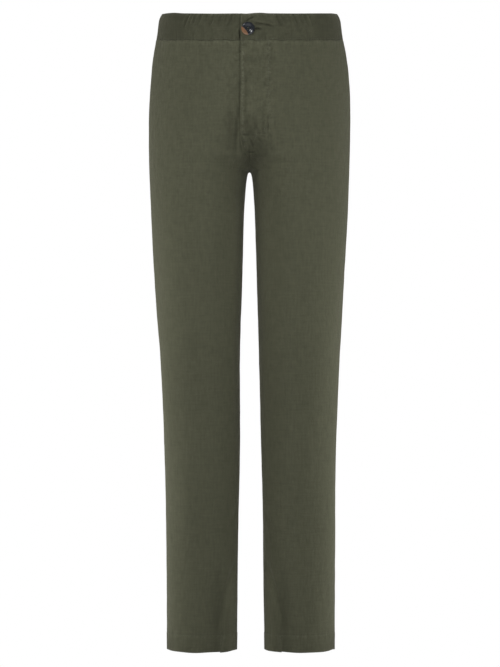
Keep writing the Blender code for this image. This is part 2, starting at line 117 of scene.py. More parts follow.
FLAT_END_Z = {FRONT: -0.060, BACK: -0.030}
ROUND_START_Z = {FRONT: -0.262, BACK: -0.225}

# The crotch seam and the space between the legs
CROTCH_Y = 0.005
RISE_HEIGHT = {FRONT: 0.095, BACK: 0.135}
RISE_POWER = {FRONT: 2.5, BACK: 2.0}
INSEAM_CENTRED_Z = -0.500
HEM_HALF_SPACE = 0.0229
SPACE_POWER = 0.41
CROTCH_FULLNESS = 2.0
LEG_FULLNESS = 2.2
FULLNESS_DEPTH = 0.120
FOLD_END = 0.6
HOLLOW_START = 0.35
HOLLOW_END = 0.8
OPENING_DEPTH = 0.100
OPENING_POWER = 6
GENTLE_RISE = 0.25
SHARP_POWER = 5

# The legs twist inwards: both seams drift round each leg, most of all at the hem.
INSEAM_DRIFT = 0.060
SIDE_SEAM_DRIFT = 0.045
DRIFT_POWER = 1.25

# Fly
LAP = 0.015
UNDERLAP = 0.012
FLY_STITCH = 0.031
FLY_RAMP = 0.005
FLY_CLEARANCE = 0.0008
UNDERLAP_END_Z = -0.152
LAP_TURN_Z = -0.172
FLY_END_Z = -0.196
LAP_END_Z = -0.240

# Waistband, which rolls in at its top from ROLL_START up, a share of its height
BAND_PROUD = 0.0005
BAND_ROLL = 0.0042
ROLL_START = 0.60
ROLL_POWER = 2.5
BAND_LAP_FLAT = 0.019
BAND_LAP_RAMP = 0.010
BAND_LAP_RISE = 0.15
BAND_GAP = 0.0004
BAND_STITCH = 0.055
BAND_UNEVENNESS = 0.5
BAND_PUCKERS = 0.6
BAND_PUCKER_SEED = 2.0
# The narrow troughs between its gathers, none as deep as the next, and the painted shade
# in them
PINCH_WIDTH = 0.0011
PINCH_DEPTH = 0.0010
PINCH_SHADE = 0.16
PINCH_TURN = 40.0
PINCH_MEAN = 0.7
PINCH_SWING = 0.3
# Past where its pleats end, the front band is less crumpled and painted darker, as painted
# shade where it turns away at the sides.
GATHERED_END = 0.102
SMOOTH_BAND_SHADE = 0.82
BAND_CRUMPLE = 2.6
SMOOTH_BAND_CALM = 0.6

# The band's top edge is nowhere quite level: swells at x, of a width and a height.
Swell = namedtuple("Swell", "x width height")
TOP_SWELLS = (
    Swell(-0.1250, 0.010, 0.0009),
    Swell(-0.0580, 0.036, -0.0005),
    Swell(-0.0060, 0.009, -0.0009),
    Swell(0.0170, 0.010, 0.0005),
    Swell(0.0720, 0.032, -0.0003),
)
CORNER_START = 0.134
CORNER_END = 0.150
CORNER_DROP = 0.0012

# The front band's small pleats: where each one's trough meets the top edge. They run
# down and out from there, and fade away.
PLEATS = {
    LEFT: (0.0445, 0.0535, 0.0645, 0.0745, 0.0835, 0.0930, 0.1030),
    RIGHT: (0.0220, 0.0300, 0.0380, 0.0470, 0.0600, 0.0720, 0.0820, 0.0920, 0.0990, 0.1070),
}
PLEAT_FOOT = 0.54
PLEAT_HEAD = 1.30
PLEAT_SLANT = 0.0060
PLEAT_WIDTH = 0.0021
PLEAT_DEPTH = 0.0018
# Painted shade in the pleats' troughs
PLEAT_SHADE = 0.13
PLEAT_MEAN = 0.8
PLEAT_SWING = 0.3
PLEAT_SLANT_SWING = 0.2
PLEAT_FOOT_SWING = 0.06
# Painted light: above this share of its height the band is painted a little paler.
CREST_START = 0.6
PAINTED_UPPER_LIGHT = 0.3

# Runs of gathers: from place to place, how many, how deep, and how far they lean
Gathers = namedtuple("Gathers", "first last count depth lean")
BACK_GATHERS = Gathers(0.006, 0.205, 18, 0.0015, 0.002)
SEAT_GATHERS = Gathers(0.010, 0.200, 5, 0.0022, 0.000)
SEAT_GATHERS_END_Z = -0.095
BACK_GATHERS_START = -0.2
GATHERS_FADE = 0.3
GATHER_MEAN = 0.78
GATHER_SWING = 0.22
GATHER_TURN = 2.4
GATHER_SHIFT = 90.0

# Folds and creases are lines on the cloth, from (place, z) to (place, z), with a width and
# a depth, which is positive for a ridge. A crease bows by a share of its length. The rows
# below give all of it in thousandths; a row without a bow has the usual one.
THOUSANDTH = 0.001
CREASE_BOW = 60
ROW_VALUES = 7
Line = namedtuple("Line", "facing side start end width depth bow")


def drawn(*rows):
    """Lines from rows of thousandths."""
    made = []
    for facing, side, *row in rows:
        values = (value * THOUSANDTH for value in (*row, CREASE_BOW)[:ROW_VALUES])
        place, z, end_place, end_z, width, depth, bow = values
        made.append(Line(facing, side, (place, z), (end_place, end_z), width, depth, bow))
    return made


# The largest folds, as in the solids
FOLDS = drawn(
    # up and out from the crotch
    (FRONT, RIGHT, 18, -230, 82, -186, 11, -1.6),
    (FRONT, LEFT, 20, -232, 88, -192, 11, -1.4),
    (FRONT, RIGHT, 34, -292, 120, -262, 13, -1),
    (FRONT, LEFT, 30, -298, 112, -272, 13, -1),
    # over the knees
    (FRONT, RIGHT, 14, -508, 118, -524, 14, -1.3),
    (FRONT, LEFT, 12, -524, 112, -506, 14, -1.3),
    (FRONT, RIGHT, 30, -556, 130, -548, 13, -0.9),
    (FRONT, LEFT, 34, -550, 126, -562, 13, -0.9),
    # beside the inseams, down to the hems
    (FRONT, RIGHT, 26, -885, 69, -1008, 10, -1.9),
    (FRONT, LEFT, 27, -889, 68, -1010, 10, -1.9),
    # under the seat
    (BACK, RIGHT, 26, -266, 130, -298, 12, -3),
    (BACK, LEFT, 30, -262, 140, -302, 12, -3.2),
    (BACK, RIGHT, 48, -304, 150, -322, 12, -1.8),
    (BACK, LEFT, 40, -300, 136, -326, 12, -1.6),
    (BACK, RIGHT, 14, -216, 74, -176, 12, -1.6),
    (BACK, LEFT, 14, -210, 68, -166, 12, -1.8),
    # behind the knees
    (BACK, RIGHT, 34, -520, 158, -506, 12, -2.7),
    (BACK, LEFT, 28, -510, 150, -526, 12, -2.7),
    (BACK, RIGHT, 28, -550, 146, -560, 12, -2),
    (BACK, LEFT, 40, -558, 158, -550, 12, -2.1),
    # down the backs of the ankles
    (BACK, RIGHT, 52, -905, 108, -1000, 11, -1.8),
    (BACK, LEFT, 60, -895, 116, -992, 11, -1.8),
)
# Finer creases, with a lip on both sides
CREASES = drawn(
    # round the fly
    (FRONT, RIGHT, 16.8, -145, 24.6, -219, 3, -2.4, 13),
    (FRONT, RIGHT, 22.5, -45, 23, -185, 5.5, -1.1),
    (FRONT, RIGHT, 39, -178, 33, -205, 5, -0.9),
    (FRONT, RIGHT, 17, -43, 27.5, -50, 2, -0.8),
    (FRONT, RIGHT, 16.5, -56, 25, -61, 2, -0.6),
    (FRONT, LEFT, 18.5, -64, 27.5, -62.5, 1.8, -0.7),
    (FRONT, LEFT, -14.5, -191.2, 0.4, -191.6, 1.4, -1.3),
    (FRONT, LEFT, 11.8, -188.4, 29, -187.8, 1.2, -1.2, 20),
    (FRONT, LEFT, 9.4, -169, 9.4, -183, 1.9, -1.3),
    (FRONT, LEFT, 30, -169, 30, -189, 1.3, -1.3),
    (FRONT, LEFT, 25, -153, 25.2, -186, 1.7, 1.4),
    (FRONT, LEFT, -12.8, -193.5, -10.8, -211, 1.4, -2),
    (FRONT, LEFT, -0.4, -194, 6.4, -211, 1.4, -1.5),
    (FRONT, LEFT, -4.6, -204, -4.2, -216, 1.4, 1.4),
    (FRONT, LEFT, 9, -207, 8.8, -215, 1.3, 1.2),
    (FRONT, LEFT, 12.6, -195.6, 20.5, -203, 2.3, -1.6),
    (FRONT, LEFT, -3, -217.4, 11.5, -217.2, 1.2, -1.7, 0),
    (FRONT, LEFT, -6, -221.5, -5, -233, 1.6, -1.4),
    (FRONT, LEFT, 14, -130, 12, -148, 4.5, 0.9),
    (FRONT, LEFT, -1, -96, 3, -128, 4, 0.8),
    (FRONT, LEFT, 36, -155, 37, -180, 2.2, 0.8),
    # hips
    (FRONT, RIGHT, 67, -93, 80, -158, 5, 0.6),
    (FRONT, LEFT, 72, -105, 76, -165, 5, 0.6),
    (FRONT, RIGHT, 115, -70, 140, -150, 8, -0.7),
    (FRONT, LEFT, 110, -90, 125, -160, 8, -0.6),
    # from the crotch
    (FRONT, RIGHT, 30, -214, 64, -200, 8.5, -1.2),
    (FRONT, LEFT, 26, -220, 64, -206, 8.5, -1.2),
    (FRONT, RIGHT, 50, -300, 105, -275, 7, -0.5),
    (FRONT, LEFT, 56, -312, 102, -292, 7, -0.5),
    # knees
    (FRONT, RIGHT, 60, -556, 130, -540, 7.5, -0.8),
    (FRONT, RIGHT, 78, -590, 135, -602, 6.5, -0.6),
    (FRONT, LEFT, 70, -530, 135, -548, 7.5, -0.7),
    (FRONT, LEFT, 50, -584, 105, -577, 6.5, -0.6),
    # shins and ankles
    (FRONT, RIGHT, 90, -690, 100, -830, 6, 0.5),
    (FRONT, LEFT, 115, -650, 108, -800, 6, 0.5),
    (FRONT, RIGHT, 30, -898, 65, -1006, 4.5, -1),
    (FRONT, LEFT, 30, -900, 65, -1006, 4.5, -1),
    (FRONT, RIGHT, 26, -806, 54, -856, 5, -0.8),
    (FRONT, LEFT, 26, -808, 54, -858, 5, -0.8),
    (FRONT, RIGHT, 50, -892, 59, -920, 2.8, 0.5),
    (FRONT, LEFT, 50, -892, 59, -920, 2.8, 0.5),
    (FRONT, RIGHT, 40, -925, 46, -1052, 7.5, 1.1),
    (FRONT, LEFT, 40, -930, 46, -1050, 7.5, 1.1),
    # seat
    (BACK, LEFT, 30, -258, 110, -292, 7.5, -1.5),
    (BACK, RIGHT, 28, -262, 100, -288, 7.5, -1.4),
    (BACK, LEFT, 40, -288, 130, -306, 6.5, -0.9),
    (BACK, RIGHT, 50, -298, 120, -318, 6.5, -0.8),
    (BACK, LEFT, 12, -205, 60, -172, 6, -1),
    (BACK, RIGHT, 12, -212, 56, -184, 6, -1),
    # backs of the knees
    (BACK, LEFT, 50, -520, 150, -536, 6.5, -1.5),
    (BACK, RIGHT, 60, -528, 145, -518, 6.5, -1.5),
    (BACK, LEFT, 42, -552, 125, -548, 6, -1.1),
    (BACK, RIGHT, 70, -560, 148, -566, 6, -1),
    (BACK, LEFT, 80, -580, 150, -598, 6, -0.7),
    (BACK, RIGHT, 38, -594, 100, -586, 6, -0.7),
    # calves and ankles
    (BACK, LEFT, 85, -700, 95, -850, 7, 0.6),
    (BACK, RIGHT, 105, -680, 96, -820, 7, 0.6),
    (BACK, LEFT, 45, -925, 95, -990, 6, -1.1),
    (BACK, RIGHT, 40, -940, 90, -996, 6, -1.1),
)
# On the band, heights are shares of its own height.
BAND_CREASES = drawn(
    (FRONT, LEFT, 6, 620, 40, 500, 1.6, -2.6, 30),
    (FRONT, LEFT, 8.5, 440, 20, 400, 1.4, -2, 30),
    (FRONT, LEFT, -6.4, 700, 6.4, 860, 1.7, -3.4, 30),
    (FRONT, LEFT, 9, 760, 36, 680, 2.6, 1, 30),
    (FRONT, LEFT, 50, 100, 64, 240, 2, -0.6),
    (FRONT, RIGHT, 17, 600, 26, 220, 2, -0.7),
    (FRONT, RIGHT, 16.3, 400, 15.6, -40, 1.5, -2.2, 0),
    (FRONT, RIGHT, 100, 80, 107, 300, 2.2, -0.6),
    (FRONT, LEFT, 150, 250, 180, 420, 4, -0.4),
    (FRONT, RIGHT, 140, 450, 175, 300, 4, -0.4),
)
# A crease's lips, in shares of its width and its depth
LIP_PLACE = 1.9
LIP_HEIGHT = 0.4

# Cloth that is nowhere quite flat: plane waves (wavelength across, down, height)
Unevenness = namedtuple("Unevenness", "count across down height")
UNEVENNESS = (
    Unevenness(14, (0.050, 0.120), (0.25, 0.60), 0.00062),
    Unevenness(18, (0.014, 0.030), (0.03, 0.12), 0.00010),
)
WAVE_SEED = 23

# Seams, and the edges that lap over them
SEAM_WIDTH = 0.0014
SEAM_DEPTH = 0.0006
INSEAM_DEPTH = 0.0003
LAP_EDGE_WIDTH = 0.0010
LAP_EDGE_DEPTH = 0.0007
# Painted shadow beside a lapped edge: how dark, and how wide
LAP_SHADE = 0.30
LAP_SHADE_WIDTH = 0.0014

# Rows of stitches: the furrow that they pull in, and the puckers on both sides of it, two
# waves whose pitch swings along the row
STITCH_FURROW = 0.0011
STITCH_DEPTH = 0.00032
PUCKER_PITCH = 0.0085
PUCKER_DEPTH = 0.00022
PUCKER_REACH = 0.010
PUCKER_SWING = 0.25
PUCKER_SWING_RUN = 0.047
SECOND_PUCKER = 0.6
SECOND_PUCKER_PITCH = 1.7
SECOND_PUCKER_SEED = 2.3
HEM_PUCKER_SEEDS = (1.3, 0.7)
FLY_PUCKER_SEED = 0.4
FLY_PUCKERS = 1.7

# Stitches: how far their middle lies off the cloth, as a share of the thread's width, how
# much their lengths differ, and a seed for each row
THREAD_PROUD = 0.22
SHORTEST_STITCH = 0.86
LONGEST_STITCH = 1.08
HEM_SEED = 2
FLY_SEED = 7
WAIST_SEED = 11
STITCH_SEGMENTS = 6
STITCH_RINGS = 5
THREAD_SEGMENTS = 6

# The lines that the stitches of the hems and of the waistband are laid along
HEM_LINE_STEP = 0.003
WAIST_LINE_Z = -0.020
WAIST_LINE_STEP = 0.002
WAIST_LINE_END = 0.001
WAIST_LINES = (
    (FRONT, LEFT, -LAP + 0.002),
    (FRONT, RIGHT, 0.0165),
    (BACK, LEFT, 0.0),
    (BACK, RIGHT, 0.0),
)

# Hems. Waves along them are given by how strong and how long over two pi they are.
HEM_PROUD = 0.0004
HEM_STITCH_Z = HEM_Z + HEM_HEIGHT
HEM_ROLL = 0.0012
HEM_STEP = (-0.0008, 0.0012)
HEM_WANDER = 0.0005
HEM_WAVES = ((1.0, 0.0210), (0.6, 0.0087))
# Painted shade at the hems' outer corners, and its width
HEM_CORNER_SHADE = 0.40
HEM_CORNER_SHADE_WIDTH = 0.035
HEM_CORNER_DROP = 0.0017
HEM_CORNER_WIDTH = 0.011

# The waist seam. Its waves also have a length in y, and a phase.
WAIST_TUCK = 0.0007
WAIST_SWELL = 0.0004
WAIST_SWELL_BELOW = 0.0035
WAIST_SWELL_WIDTH = 0.0030
WAIST_RIPPLE = 0.00030
WAIST_RIPPLE_PITCH = 0.0112
WAIST_RIPPLE_REACH = 0.034
WAIST_WANDER = 0.00055
WAIST_WANDER_REACH = 0.008
WAIST_WAVES = ((1.0, 0.0067, 0.011, 0.0), (0.7, 0.0031, -0.006, 1.0))
# Painted shade along the band's foot at the waist seam, in patches
WAIST_SHADE = 0.30
WAIST_SHADE_UP = 0.0002
WAIST_SHADE_WIDTH = 0.0011
WAIST_SHADE_PATCH = 0.034
WAIST_SHADE_EVEN = 0.4

# What repeats runs ahead of an even pitch and falls behind it: how far, and how slowly
RIPPLE_SWAY = (1.4, 0.21)
PATCH_SWAY = (1.7, 0.37)

# How much more the cloth is crumpled over the hips and by the fly
HIP_CRUMPLE = 0.8
FLY_CRUMPLE = 1.4
UNDER_FLY_CRUMPLE = 0.7
FLY_CRUMPLE_END = (0.030, 0.050)

# Marks in the linen: how often they repeat across and along the cut, how finely they are
# broken up, and how much they change its brightness. Then how high they and the weave are.
Mark = namedtuple("Mark", "across along detail bright")
WARP_SLUBS = Mark(330.0, 45.0, 3.0, 0.36)
WEFT_SLUBS = Mark(42.0, 350.0, 3.0, 0.30)
CRUMPLES = Mark(110.0, 75.0, 3.0, 0.20)
FLECKS = Mark(260.0, 210.0, 2.0, 0.18)
CLOUDS = Mark(14.0, 6.0, 2.0, 0.14)
SLUB_HEIGHT = 0.00020
CRUMPLE_HEIGHT = 0.00070
FLECK_HEIGHT = 0.00015
WEAVE_HEIGHT = 0.00003
WEAVE_MEAN = 0.8
WEAVE_BRIGHT = 0.12
THREAD_ROUND = 0.4
# Worn places are paler: how strong the wear is, how much the flecks break it up, and how
# far it goes towards the worn colour
WEAR_EVEN = 0.8
WEAR_FLECKED = 1.6
WEAR_COLOUR = 0.75
LINEN_ROUGH = 0.84
FLECK_ROUGH = 0.10
LINEN_FINISH = dict(
    Specular_IOR_Level=0.30,
    Sheen_Weight=0.22,
    Sheen_Roughness=0.45,
    Sheen_Tint=(0.90, 0.88, 0.70, 1.0),
)

# The thread's finish: its twist, as the turn in radians for each metre, and its fluff
TWIST_TURN = 9000.0
TWIST_BRIGHT = 0.12
TWIST_HEIGHT = 0.00003
FLUFF_SCALE = 900.0
FLUFF_BRIGHT = 0.3
FLUFF_ROUGH = 0.2
SPUN_ROUGH = 0.62
SPUN_SHEEN = 0.15

# Painted shade: how much darker the cloth is painted in creases (and, as painted light, paler
# on ridges) and on the lower legs
CREASE_SHADE = 0.16
LOW_LEG_SHADE = 0.05
LOW_LEG_Z = (-0.620, -0.460)

# Worn, paler edges: how pale, how far from the edge, how wide, how long the patches are
# that it comes in, if it does, and how much of it there is between them
Worn = namedtuple("Worn", "pale off width patch even", defaults=(None, 0.0))
WORN_HEM = Worn(1.0, 0.0, 0.0022, 0.019, 0.5)
WORN_HEM_STITCHES = Worn(0.35, -0.0020, 0.0018, 0.011)
WORN_HEM_INSEAM = Worn(0.5, 0.0020, 0.0018)
WORN_WAIST = Worn(0.45, 0.0030, 0.0022, 0.013)
# Wear and a painted highlight along the fly's lapped edge
LAP_WEAR_AND_HIGHLIGHT = Worn(1.0, 0.0038, 0.0015, 0.0125, 0.25)
WORN_FLY_STITCHES = Worn(0.40, 0.0018, 0.0016, 0.0105)
WORN_BAND_TOP = Worn(0.9, 0.97, 0.05)
WORN_BAND_FOOT = Worn(0.45, 0.0012, 0.0015, 0.012)
WORN_BAND_LAP = Worn(0.7, 0.0010, 0.0015)

# Painted shade (or, below 0, painted light) on parts of the front side: a share of the
# cloth's colour, which fades in over the heights of its foot, out over those of its top, and
# to both sides.
Shade = namedtuple("Shade", "share x width foot top")
FLY_SHADES = (
    Shade(0.12, 0.000, 0.036, (-0.240, -0.205), (-0.185, -0.140)),
    Shade(0.12, 0.006, 0.018, (-0.216, -0.200), (-0.180, -0.150)),
    Shade(0.05, 0.018, 0.026, (-0.190, -0.160), (-0.060, -0.030)),
    Shade(-0.08, 0.006, 0.014, (-0.165, -0.145), (-0.115, -0.095)),
    Shade(0.17, 0.002, 0.014, (-0.238, -0.228), (-0.216, -0.206)),
    Shade(0.30, -0.0070, 0.0026, (-0.2225, -0.2205), (-0.2205, -0.2175)),
    Shade(0.40, -0.0148, 0.0014, (-0.0440, -0.0412), (-0.0412, -0.0380)),
    Shade(0.14, -0.0190, 0.0050, (-0.168, -0.145), (-0.100, -0.060)),
    Shade(0.22, -0.0065, 0.0024, (-0.176, -0.146), (-0.090, -0.060)),
    Shade(0.20, -0.0310, 0.0070, (-0.217, -0.200), (-0.164, -0.140)),
    Shade(-0.14, 0.0170, 0.0070, (-0.193, -0.186), (-0.178, -0.170)),
    Shade(-0.12, 0.0335, 0.0050, (-0.190, -0.180), (-0.130, -0.115)),
    Shade(0.17, 0.0190, 0.0130, (-0.229, -0.223), (-0.201, -0.195)),
    Shade(-0.30, -0.0005, 0.0040, (-0.238, -0.230), (-0.220, -0.215)),
    Shade(-0.14, -0.0135, 0.0050, (-0.233, -0.228), (-0.218, -0.212)),
    Shade(0.18, 0.000, 0.0065, (-0.2447, -0.2440), (-0.2436, -0.2415)),
)
LEG_SHADES = (
    Shade(0.08, 0.026, 0.010, (-0.300, -0.262), (-0.240, -0.228)),
    Shade(-0.24, 0.010, 0.009, (-0.330, -0.280), (-0.240, -0.228)),
    Shade(-0.30, 0.008, 0.008, (-0.275, -0.255), (-0.2445, -0.2439)),
    Shade(-0.25, 0.012, 0.016, (-0.520, -0.380), (-0.330, -0.280)),
    Shade(0.15, 0.0560, 0.0110, (-1.080, -1.060), (-0.965, -0.870)),
    Shade(-0.30, 0.0310, 0.0095, (-1.080, -1.060), (-0.965, -0.870)),
)
SHADES = FLY_SHADES + tuple(
    shade._replace(x=shade.x * side) for shade in LEG_SHADES for side in (LEFT, RIGHT)
)
# A back panel has them only where it comes round to face forward, and from this on in full.
SHADED_TURN = 0.4

# The bar-tacks on the left front: from (place, z) to (place, z), and how wide. Their thread
# runs in a close zigzag, and is a little thicker than the stitches'.
BAR_TACKS = (
    ((-0.0015, -0.0485), (-0.0018, -0.0565), 0.0016),
    ((-0.0118, -0.1985), (-0.0050, -0.2000), 0.0017),
    ((0.0285, -0.1745), (0.0245, -0.1820), 0.0014),
)
TACK_PITCH = 0.00034
TACK_OFF = 0.00022
TACK_THREAD = 1.05

# The line of stitches round the fly, as (place, z) on the left front, whose corners are
# cut twice, and how many points each step of it then has
FLY_CORNER_CUT = 0.25
FLY_LINE_POINTS = 6
FLY_LINE = (
    (0.0306, -0.0235),
    (0.0306, -0.0600),
    (0.0306, -0.1000),
    (0.0306, -0.1420),
    (0.0318, -0.1530),
    (0.0338, -0.1630),
    (0.0334, -0.1720),
    (0.0306, -0.1800),
    (0.0256, -0.1856),
    (0.0196, -0.1872),
    (0.0140, -0.1886),
    (0.0104, -0.1922),
    (0.0090, -0.1975),
)

# Rows and columns of the cloth's mesh, closer together along edges and stitches
ROW_STEP = 0.0032
COLUMN_STEP = 0.0032
FLY_STEP = 0.0016
FINE_END_PLACE = 0.048
HEM_LINE_ROWS = (0.0024, 0.0012, 0.0005, 0.0, -0.0005, -0.0014)
HEM_ROLL_ROWS = 5
FLY_STITCH_COLUMNS = (-0.0022, -0.0011, 0.0, 0.0011, 0.0025, 0.005)
EDGE_STEPS = (0.0, 0.0004, 0.0009, 0.0015, 0.0023)
ROW_CROWDING = 1.8
FOLD_REACH = 0.030
COLUMN_SAMPLES = 300
CROWDED_SHARE = 0.10
EVEN_SHARE = 0.9
BAND_ROW_STEP = 0.0009
BAND_COLUMN_STEP = 0.0009
# How far apart the bands lie in their material's pattern
BAND_CUT = 3

# Button, on the lapped end of the band
BUTTON_PLACE = -0.0029
BUTTON_HEIGHT = 0.44
BUTTON_OFF = 0.0003
HOLE_OFFSET = 0.0018
HOLE_RADIUS = 0.00085
HOLE_FACES = 20
# How long a hole's drill is, in thicknesses of the button
HOLE_DRILL = 4
SHARP_EDGE = math.radians(50)
# Its half section, in shares of its radius and thickness: the flat foot, the side that
# swells up from it, the rim that rolls over to its crest, and the dish down to the centre
FOOT_RADIUS = 0.80
SIDE_RADIUS = 0.95
SIDE_HEIGHT = 0.28
CREST_RADIUS = 0.76
DISH_RADIUS = 0.34
DISH_HEIGHT = 0.50
CENTRE_HEIGHT = 0.51
SIDE_TURNS = (0.25, math.pi / 2, 6)
RIM_TURNS = (0.12, math.pi / 2, 14)
DISH_STEPS = 14
DISH_EASE = (-0.12, 1.12)
# Points this close together on its axis are one
TURNING_MERGE = 0.00001
# Its streak of light horn: where the streak's middle lies, in radii from the button's, how
# far it reaches and how sharp its edge is
STREAK_AWAY = (-1.68, 0.0, -1.26)
STREAK_REACH = 1.78
STREAK_EDGE = 7.0
# The dark horn's swirls, which also break up the streak, and its veins
DARKEST_HORN = (0.030, 0.033, 0.040)
SWIRL_SCALE = 120.0
SWIRL_DETAIL = 4.0
SWIRL_REACH = 0.35
SWIRL_ROUGH = 0.08
VEIN_SCALE = 420.0
VEIN_DETAIL = 3.0
VEIN_STRETCH = (1.0, 1.0, 3.0)
VEIN_DARK = 0.45
VEIN_BRIGHT = 0.5
HORN_ROUGH = 0.15
HORN_FINISH = dict(
    Specular_IOR_Level=1.0,
    Coat_Weight=1.0,
    Coat_Roughness=0.10,
    Coat_IOR=2.0,
)

# The thread through its holes: strands side by side over the dish, which draw together
# and go down at the holes
BUTTON_THREAD = 0.00042
STRAND_GAP = 0.00028
STRAND_TOP = 0.55
STRAND_OFF = 0.0003
STRAND_FOOT = 0.0004
STRAND_CLOSING = 0.6
STRAND_SQUARENESS = 5
STRAND_POINTS = 13

# The buttonhole's satin edge, which runs to and fro round a slit in the band
SLIT_START, SLIT_END = -0.0080, 0.0165
SLIT_PITCH = 0.00036
SLIT_TURNS = (0.1, 3.0, 10)
SLIT_INNER, SLIT_OUTER = 0.0003, 0.0014
SLIT_THREAD = 0.0004
SLIT_OFF = 0.00018

# The camera's place and lens, and the stage
CAMERA_PLACE = (0.0004, -4.3, -0.5145)
CAMERA_LENS = 138.5
CAMERA_SENSOR = 36.0
FLOOR_SIZE = 8.0
FLOOR_GAP = 0.003
FLOOR_COLOUR = (0.45, 0.45, 0.45)
FLOOR_ROUGH = 0.9
PAPER_SCALE = 60.0
PAPER_GRAIN = 0.02
WORLD_COLOUR = (0.97, 0.98, 1.0)
# Lamps off to one side come in mirrored pairs, except those named here.
Lamp = namedtuple("Lamp", "power x y z aim width height")
SINGLE_LAMPS = ("key_power", "front_power", "back_power")
LAMPS = (
    Lamp("high_power", 2.00, -2.20, 1.20, -0.40, 1.0, 1.0),
    Lamp("key_power", -1.20, -2.00, 1.60, 0.00, 0.9, 0.45),
    Lamp("front_power", 0.00, -1.50, -0.30, -0.30, 0.7, 0.6),
    Lamp("side_power", 1.60, -0.90, 0.10, 0.10, 0.7, 0.7),
    Lamp("calf_power", 0.85, 0.10, -0.80, -0.80, 0.4, 0.5),
    Lamp("back_power", 0.00, 3.00, 0.40, -0.40, 2.0, 1.4),
)


class LinenSettings(bpy.types.PropertyGroup):
    """Colours and threads of the linen."""

    colour: FloatVectorProperty(
        name="Linen",
        description="Colour of the dyed linen",
        subtype="COLOR",
        min=0.0,
        max=1.0,
        default=(0.0896, 0.0915, 0.0590),
    )
    worn_colour: FloatVectorProperty(
        name="Worn edges",
        description="Colour of the linen along folded and stitched edges",
        subtype="COLOR",
        min=0.0,
        max=1.0,
        default=(0.140, 0.143, 0.100),
    )
    band_shade: FloatProperty(
        name="Band shade",
        description="Brightness of the waistband's linen, against the legs'",
        default=0.80,
    )
    thread_pitch: FloatProperty(
        name="Thread pitch",
        description="Distance from thread to thread in the weave",
        unit="LENGTH",
        default=0.00055,
    )


class SewingSettings(bpy.types.PropertyGroup):
    """Sizes and colour of the sewing thread."""

    stitch_length: FloatProperty(
        name="Stitch length",
        description="Length of one stitch that shows",
        unit="LENGTH",
        default=0.0024,
    )
    stitch_pitch: FloatProperty(
        name="Stitch pitch",
        description="Distance from stitch to stitch",
        unit="LENGTH",
        default=0.0031,
    )
    thread_width: FloatProperty(
        name="Thread width",
        description="Thickness of the sewing thread",
        unit="LENGTH",
        default=0.00042,
    )
    colour: FloatVectorProperty(
        name="Thread",
        description="Colour of the sewing thread",
        subtype="COLOR",
        min=0.0,
        max=1.0,
        default=(0.085, 0.090, 0.060),
    )


class ButtonSettings(bpy.types.PropertyGroup):
    """Sizes and colours of the button."""

    radius: FloatProperty(
        name="Radius",
        description="Radius of the button",
        unit="LENGTH",
        default=0.011,
    )
    thickness: FloatProperty(
        name="Thickness",
        description="Thickness of the button at its rim",
        unit="LENGTH",
        default=0.0036,
    )
    segments: IntProperty(
        name="Segments",
        description="Faces round the button",
        min=24,
        default=96,
    )
    dark: FloatVectorProperty(
        name="Dark horn",
        description="Colour of most of the button",
        subtype="COLOR",
        min=0.0,
        max=1.0,
        default=(0.020, 0.024, 0.030),
    )
    light: FloatVectorProperty(
        name="Light horn",
        description="Colour of the light streak in the button",
        subtype="COLOR",
        min=0.0,
        max=1.0,
        default=(0.280, 0.148, 0.080),
    )


class StageSettings(bpy.types.PropertyGroup):
    """Strengths of the studio lights."""

    high_power: FloatProperty(
        name="High lights",
        description="Power of each of the two lights high in front",
        unit="POWER",
        default=15.2,
    )
    key_power: FloatProperty(
        name="Key light",
        description="Power of the small light high on the wearer's right",
        unit="POWER",
        default=6.0,
    )
    front_power: FloatProperty(
        name="Front light",
        description="Power of the light in front of the thighs",
        unit="POWER",
        default=5.7,
    )
    side_power: FloatProperty(
        name="Side lights",
        description="Power of each of the two lights beside the hips",
        unit="POWER",
        default=9.5,
    )
    calf_power: FloatProperty(
        name="Calf lights",
        description="Power of each of the two lights close beside the calves",
        unit="POWER",
        default=3.9,
    )
    back_power: FloatProperty(
        name="Back light",
        description="Power of the broad light behind",
        unit="POWER",
        default=54.0,
    )
    world_strength: FloatProperty(
        name="Surroundings",
        description="Strength of the even light from all round",
        default=0.03,
    )


class TrousersSettings(bpy.types.PropertyGroup):
    """All the settings of the trousers."""

    linen: PointerProperty(type=LinenSettings)
    sewing: PointerProperty(type=SewingSettings)
    button: PointerProperty(type=ButtonSettings)
    stage: PointerProperty(type=StageSettings)


# --- form ---------------------------------------------------------------------------


def blend(start, end, share):
    return start + (end - start) * share


def ease(value, start, end):
    """0 at start and 1 at end, level at both."""
    share = np.clip((value - start) / (end - start), 0.0, 1.0)
    return share * share * (3.0 - 2.0 * share)


def bell(value, middle, width):
    """1 at the middle, falling off to both sides."""
    return np.exp(-(((value - middle) / width) ** 2))


def smooth_column(name):
    """A smooth function of height through one column of SECTIONS."""
    heights = np.array([row.z for row in SECTIONS])
    values = np.array([getattr(row, name) for row in SECTIONS])
    slopes = np.gradient(values, heights)

    def at(z):
        i = int(np.clip(np.searchsorted(heights, z) - 1, 0, len(heights) - 2))
        step = heights[i + 1] - heights[i]
        t = float(np.clip((z - heights[i]) / step, 0.0, 1.0))
        near = (1 + 2 * t) * values[i] + t * step * slopes[i]
        far = (3 - 2 * t) * values[i + 1] + (t - 1) * step * slopes[i + 1]
        return (1 - t) ** 2 * near + t ** 2 * far

    return at


side_at = smooth_column("side")
lean_at = smooth_column("lean")
depth_at = {FRONT: smooth_column("front"), BACK: smooth_column("back")}


def half_space(z):
    """Half the space between the legs."""
    share = min(max((CROTCH_Z - z) / (CROTCH_Z - HEM_Z), 0.0), 1.0)
    return HEM_HALF_SPACE * share ** SPACE_POWER


